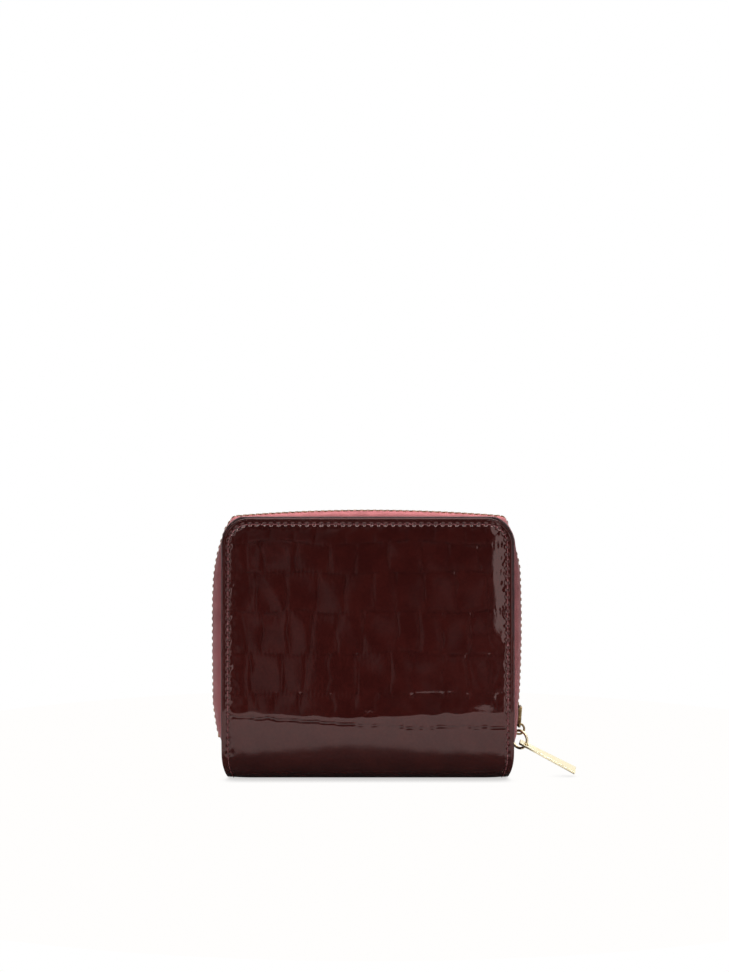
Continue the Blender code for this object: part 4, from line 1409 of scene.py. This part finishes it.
def eased_copy(node, made_of, width):
    """Replaces a small CAD piece by a copy with rounded edges and its finished material."""
    source = frame["nodes"][node]
    mesh = source.data.copy()
    mesh.transform(source.matrix_world)
    mesh.materials.clear()
    mesh.materials.append(made_of)
    obj = linked(f"{node}_finish", mesh)
    work = bmesh.new()
    work.from_mesh(mesh)
    bmesh.ops.remove_doubles(work, verts=work.verts, dist=1e-7)
    bmesh.ops.dissolve_limit(work, angle_limit=math.radians(2), verts=work.verts, edges=work.edges)
    work.to_mesh(mesh)
    work.free()
    rounding = obj.modifiers.new("rounding", "BEVEL")
    rounding.width = width * MM
    rounding.segments = 3
    rounding.limit_method = "ANGLE"
    bake_modifiers(obj)
    obj.data.shade_smooth()
    obj.data.set_sharp_from_angle(angle=math.radians(50))
    box_uv(obj.data)
    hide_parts(node)
    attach(obj, source["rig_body"])


# ==== view ====


def add_camera():
    camera = bpy.data.cameras.new("camera")
    camera.lens = CAMERA_LENS
    obj = linked("camera", camera)
    obj.location = Vector(CAMERA_PLACE) * MM
    obj.rotation_euler = (math.pi / 2 - CAMERA_DIP, 0, 0)
    bpy.context.scene.camera = obj


def add_floor():
    """A round white table: seen as plain white, with a soft shade where something touches it."""
    work = bmesh.new()
    bmesh.ops.create_circle(work, cap_ends=True, segments=96, radius=FLOOR_RADIUS * MM)
    mesh = bpy.data.meshes.new("floor")
    work.to_mesh(mesh)
    work.free()
    made, nodes, shader, _ = new_material("floor")
    nodes.set(shader, Base_Color=rgb(0.64, 0.64, 0.64), Roughness=0.9, Specular_IOR_Level=0.1)
    near = nodes.add("ShaderNodeAmbientOcclusion", {"Distance": 7 * MM}, samples=8).outputs["AO"]
    level = nodes.ramp(near, 0.1, 0.8, 0.62, 1.0, smooth=False)
    shown = nodes.add("ShaderNodeEmission", {"Color": rgb(1, 0.99, 0.98), "Strength": level})
    seen = nodes.add("ShaderNodeLightPath").outputs["Is Camera Ray"]
    both = nodes.add("ShaderNodeMixShader", {0: seen, 1: shader.outputs[0], 2: shown.outputs[0]})
    output = next(n for n in made.node_tree.nodes if n.type == "OUTPUT_MATERIAL")
    made.node_tree.links.new(both.outputs[0], output.inputs[0])
    mesh.materials.append(made)
    obj = linked("floor", mesh)
    obj.location.z = -0.02 * MM


def add_world():
    """A dim studio, white to the camera. What mirrors it sees two upright strips at each side,
    a lamp in front, a bright top and rear, and faint upright streaks between them."""
    world = bpy.data.worlds.new("studio")
    bpy.context.scene.world = world
    world.use_nodes = True
    nodes = Nodes(world.node_tree)
    look = nodes.add("ShaderNodeTexCoord").outputs["Generated"]
    split = nodes.add("ShaderNodeSeparateXYZ", {"Vector": look})
    x, y, z = (split.outputs[i] for i in range(3))
    above = nodes.ramp(z, 0.7, 0.82, 0.0, 3.0)
    rear, up = nodes.ramp(y, 0.02, 0.2), nodes.ramp(z, 0.08, 0.3, 0.15, 1.15)
    backdrop = nodes.math("MULTIPLY", rear, up)
    turned = nodes.math("ABSOLUTE", nodes.math("ARCTAN2", x, nodes.math("ABSOLUTE", y)))
    right = nodes.math("GREATER_THAN", x, 0.0)
    start = nodes.ramp(right, 0.0, 1.0, 0.36, 0.27, smooth=False)
    offset = nodes.math("SUBTRACT", turned, start)
    narrow = nodes.band(offset, (0.0, 0.03), (0.16, 0.2))
    wide = nodes.band(offset, (0.42, 0.46), (0.95, 1.0))
    strip = nodes.math("MAXIMUM", narrow, wide)
    strip = nodes.math("MULTIPLY", strip, nodes.ramp(z, -0.25, -0.1, 0.0, 1.7))
    strip = nodes.math("MULTIPLY", strip, nodes.ramp(z, 0.35, 0.5, 1.0, 0.0))
    drawn_out = nodes.add("ShaderNodeMapping", {"Vector": look, "Scale": (3.2, 3.2, 0.7)}).outputs[0]
    clutter = nodes.ramp(nodes.noise(drawn_out, 9.0, 3.0), 0.5, 0.64, 0.005, 0.25)
    lamp = nodes.math("MULTIPLY", nodes.ramp(z, 0.6, 0.61), nodes.ramp(z, 0.66, 0.67, 12.0, 0.0))
    lamp = nodes.math("MULTIPLY", lamp, nodes.math("LESS_THAN", y, -0.1))
    panels = nodes.math("MAXIMUM", nodes.math("MAXIMUM", above, strip), lamp)
    mirrored = nodes.math("MAXIMUM", panels, nodes.math("MAXIMUM", clutter, backdrop))
    path = nodes.add("ShaderNodeLightPath")
    glossy = path.outputs["Is Glossy Ray"]
    seen = path.outputs["Is Camera Ray"]
    soft = nodes.ramp(z, -0.1, 0.6, 0.08, 0.22)
    level = nodes.math("MULTIPLY", mirrored, glossy)
    level = nodes.math("ADD", level, nodes.math("MULTIPLY", soft, nodes.math("SUBTRACT", 1.0, glossy)))
    level = nodes.math("MAXIMUM", level, seen)
    background = nodes.add("ShaderNodeBackground", {"Color": rgb(1, 1, 1), "Strength": level})
    output = nodes.add("ShaderNodeOutputWorld")
    world.node_tree.links.new(background.outputs[0], output.inputs[0])


def add_lights():
    """A softbox overhead and a little behind, and a spot that brightens the table in front."""
    light = bpy.data.lights.new("overhead", "AREA")
    light.shape = "DISK"
    light.size = 70 * MM
    light.energy = OVERHEAD_WATTS
    spot = bpy.data.lights.new("table_spot", "SPOT")
    spot.energy = SPOT_WATTS
    spot.spot_size = math.radians(34)
    spot.spot_blend = 0.9
    spot.shadow_soft_size = 40 * MM
    for name, lamp, place_at, aim in (
        ("overhead", light, OVERHEAD_PLACE, (0, 0, 0)),
        ("table_spot", spot, SPOT_PLACE, SPOT_AIM),
    ):
        obj = linked(name, lamp)
        obj.location = Vector(place_at) * MM
        obj.rotation_euler = (Vector(aim) - Vector(place_at)).to_track_quat("-Z", "Y").to_euler()
        obj.visible_camera = False
        obj.visible_glossy = False
    bpy.context.scene.view_settings.view_transform = "Standard"


def main():
    add_camera()
    add_floor()
    add_world()
    add_lights()
    for side in (FRONT, BACK):
        cover_leather(side)
        cover_stitches(side)
        rim_shade_bead(side)
        zip_tape(side)
        tape_cord(side)
        zip_teeth(side)
        inside_layers(side)
        word = WORDS[side]
        eased_copy(f"{word}_stiffener", FIBRE, 0.12)
        eased_copy(f"{word}_zip_top_stop", BRASS, 0.14)
    eased_copy("zip_bottom_stop", BRASS, 0.3)
    coin_pocket()
    placed = slider_frame()
    bail = placed @ Vector((BAIL_PLACE[0], 0, BAIL_PLACE[1]))
    ring = ring_frame(bail)
    slider_body(placed)
    pull_ring(ring)
    pull_tab(tab_frame(ring))


main()
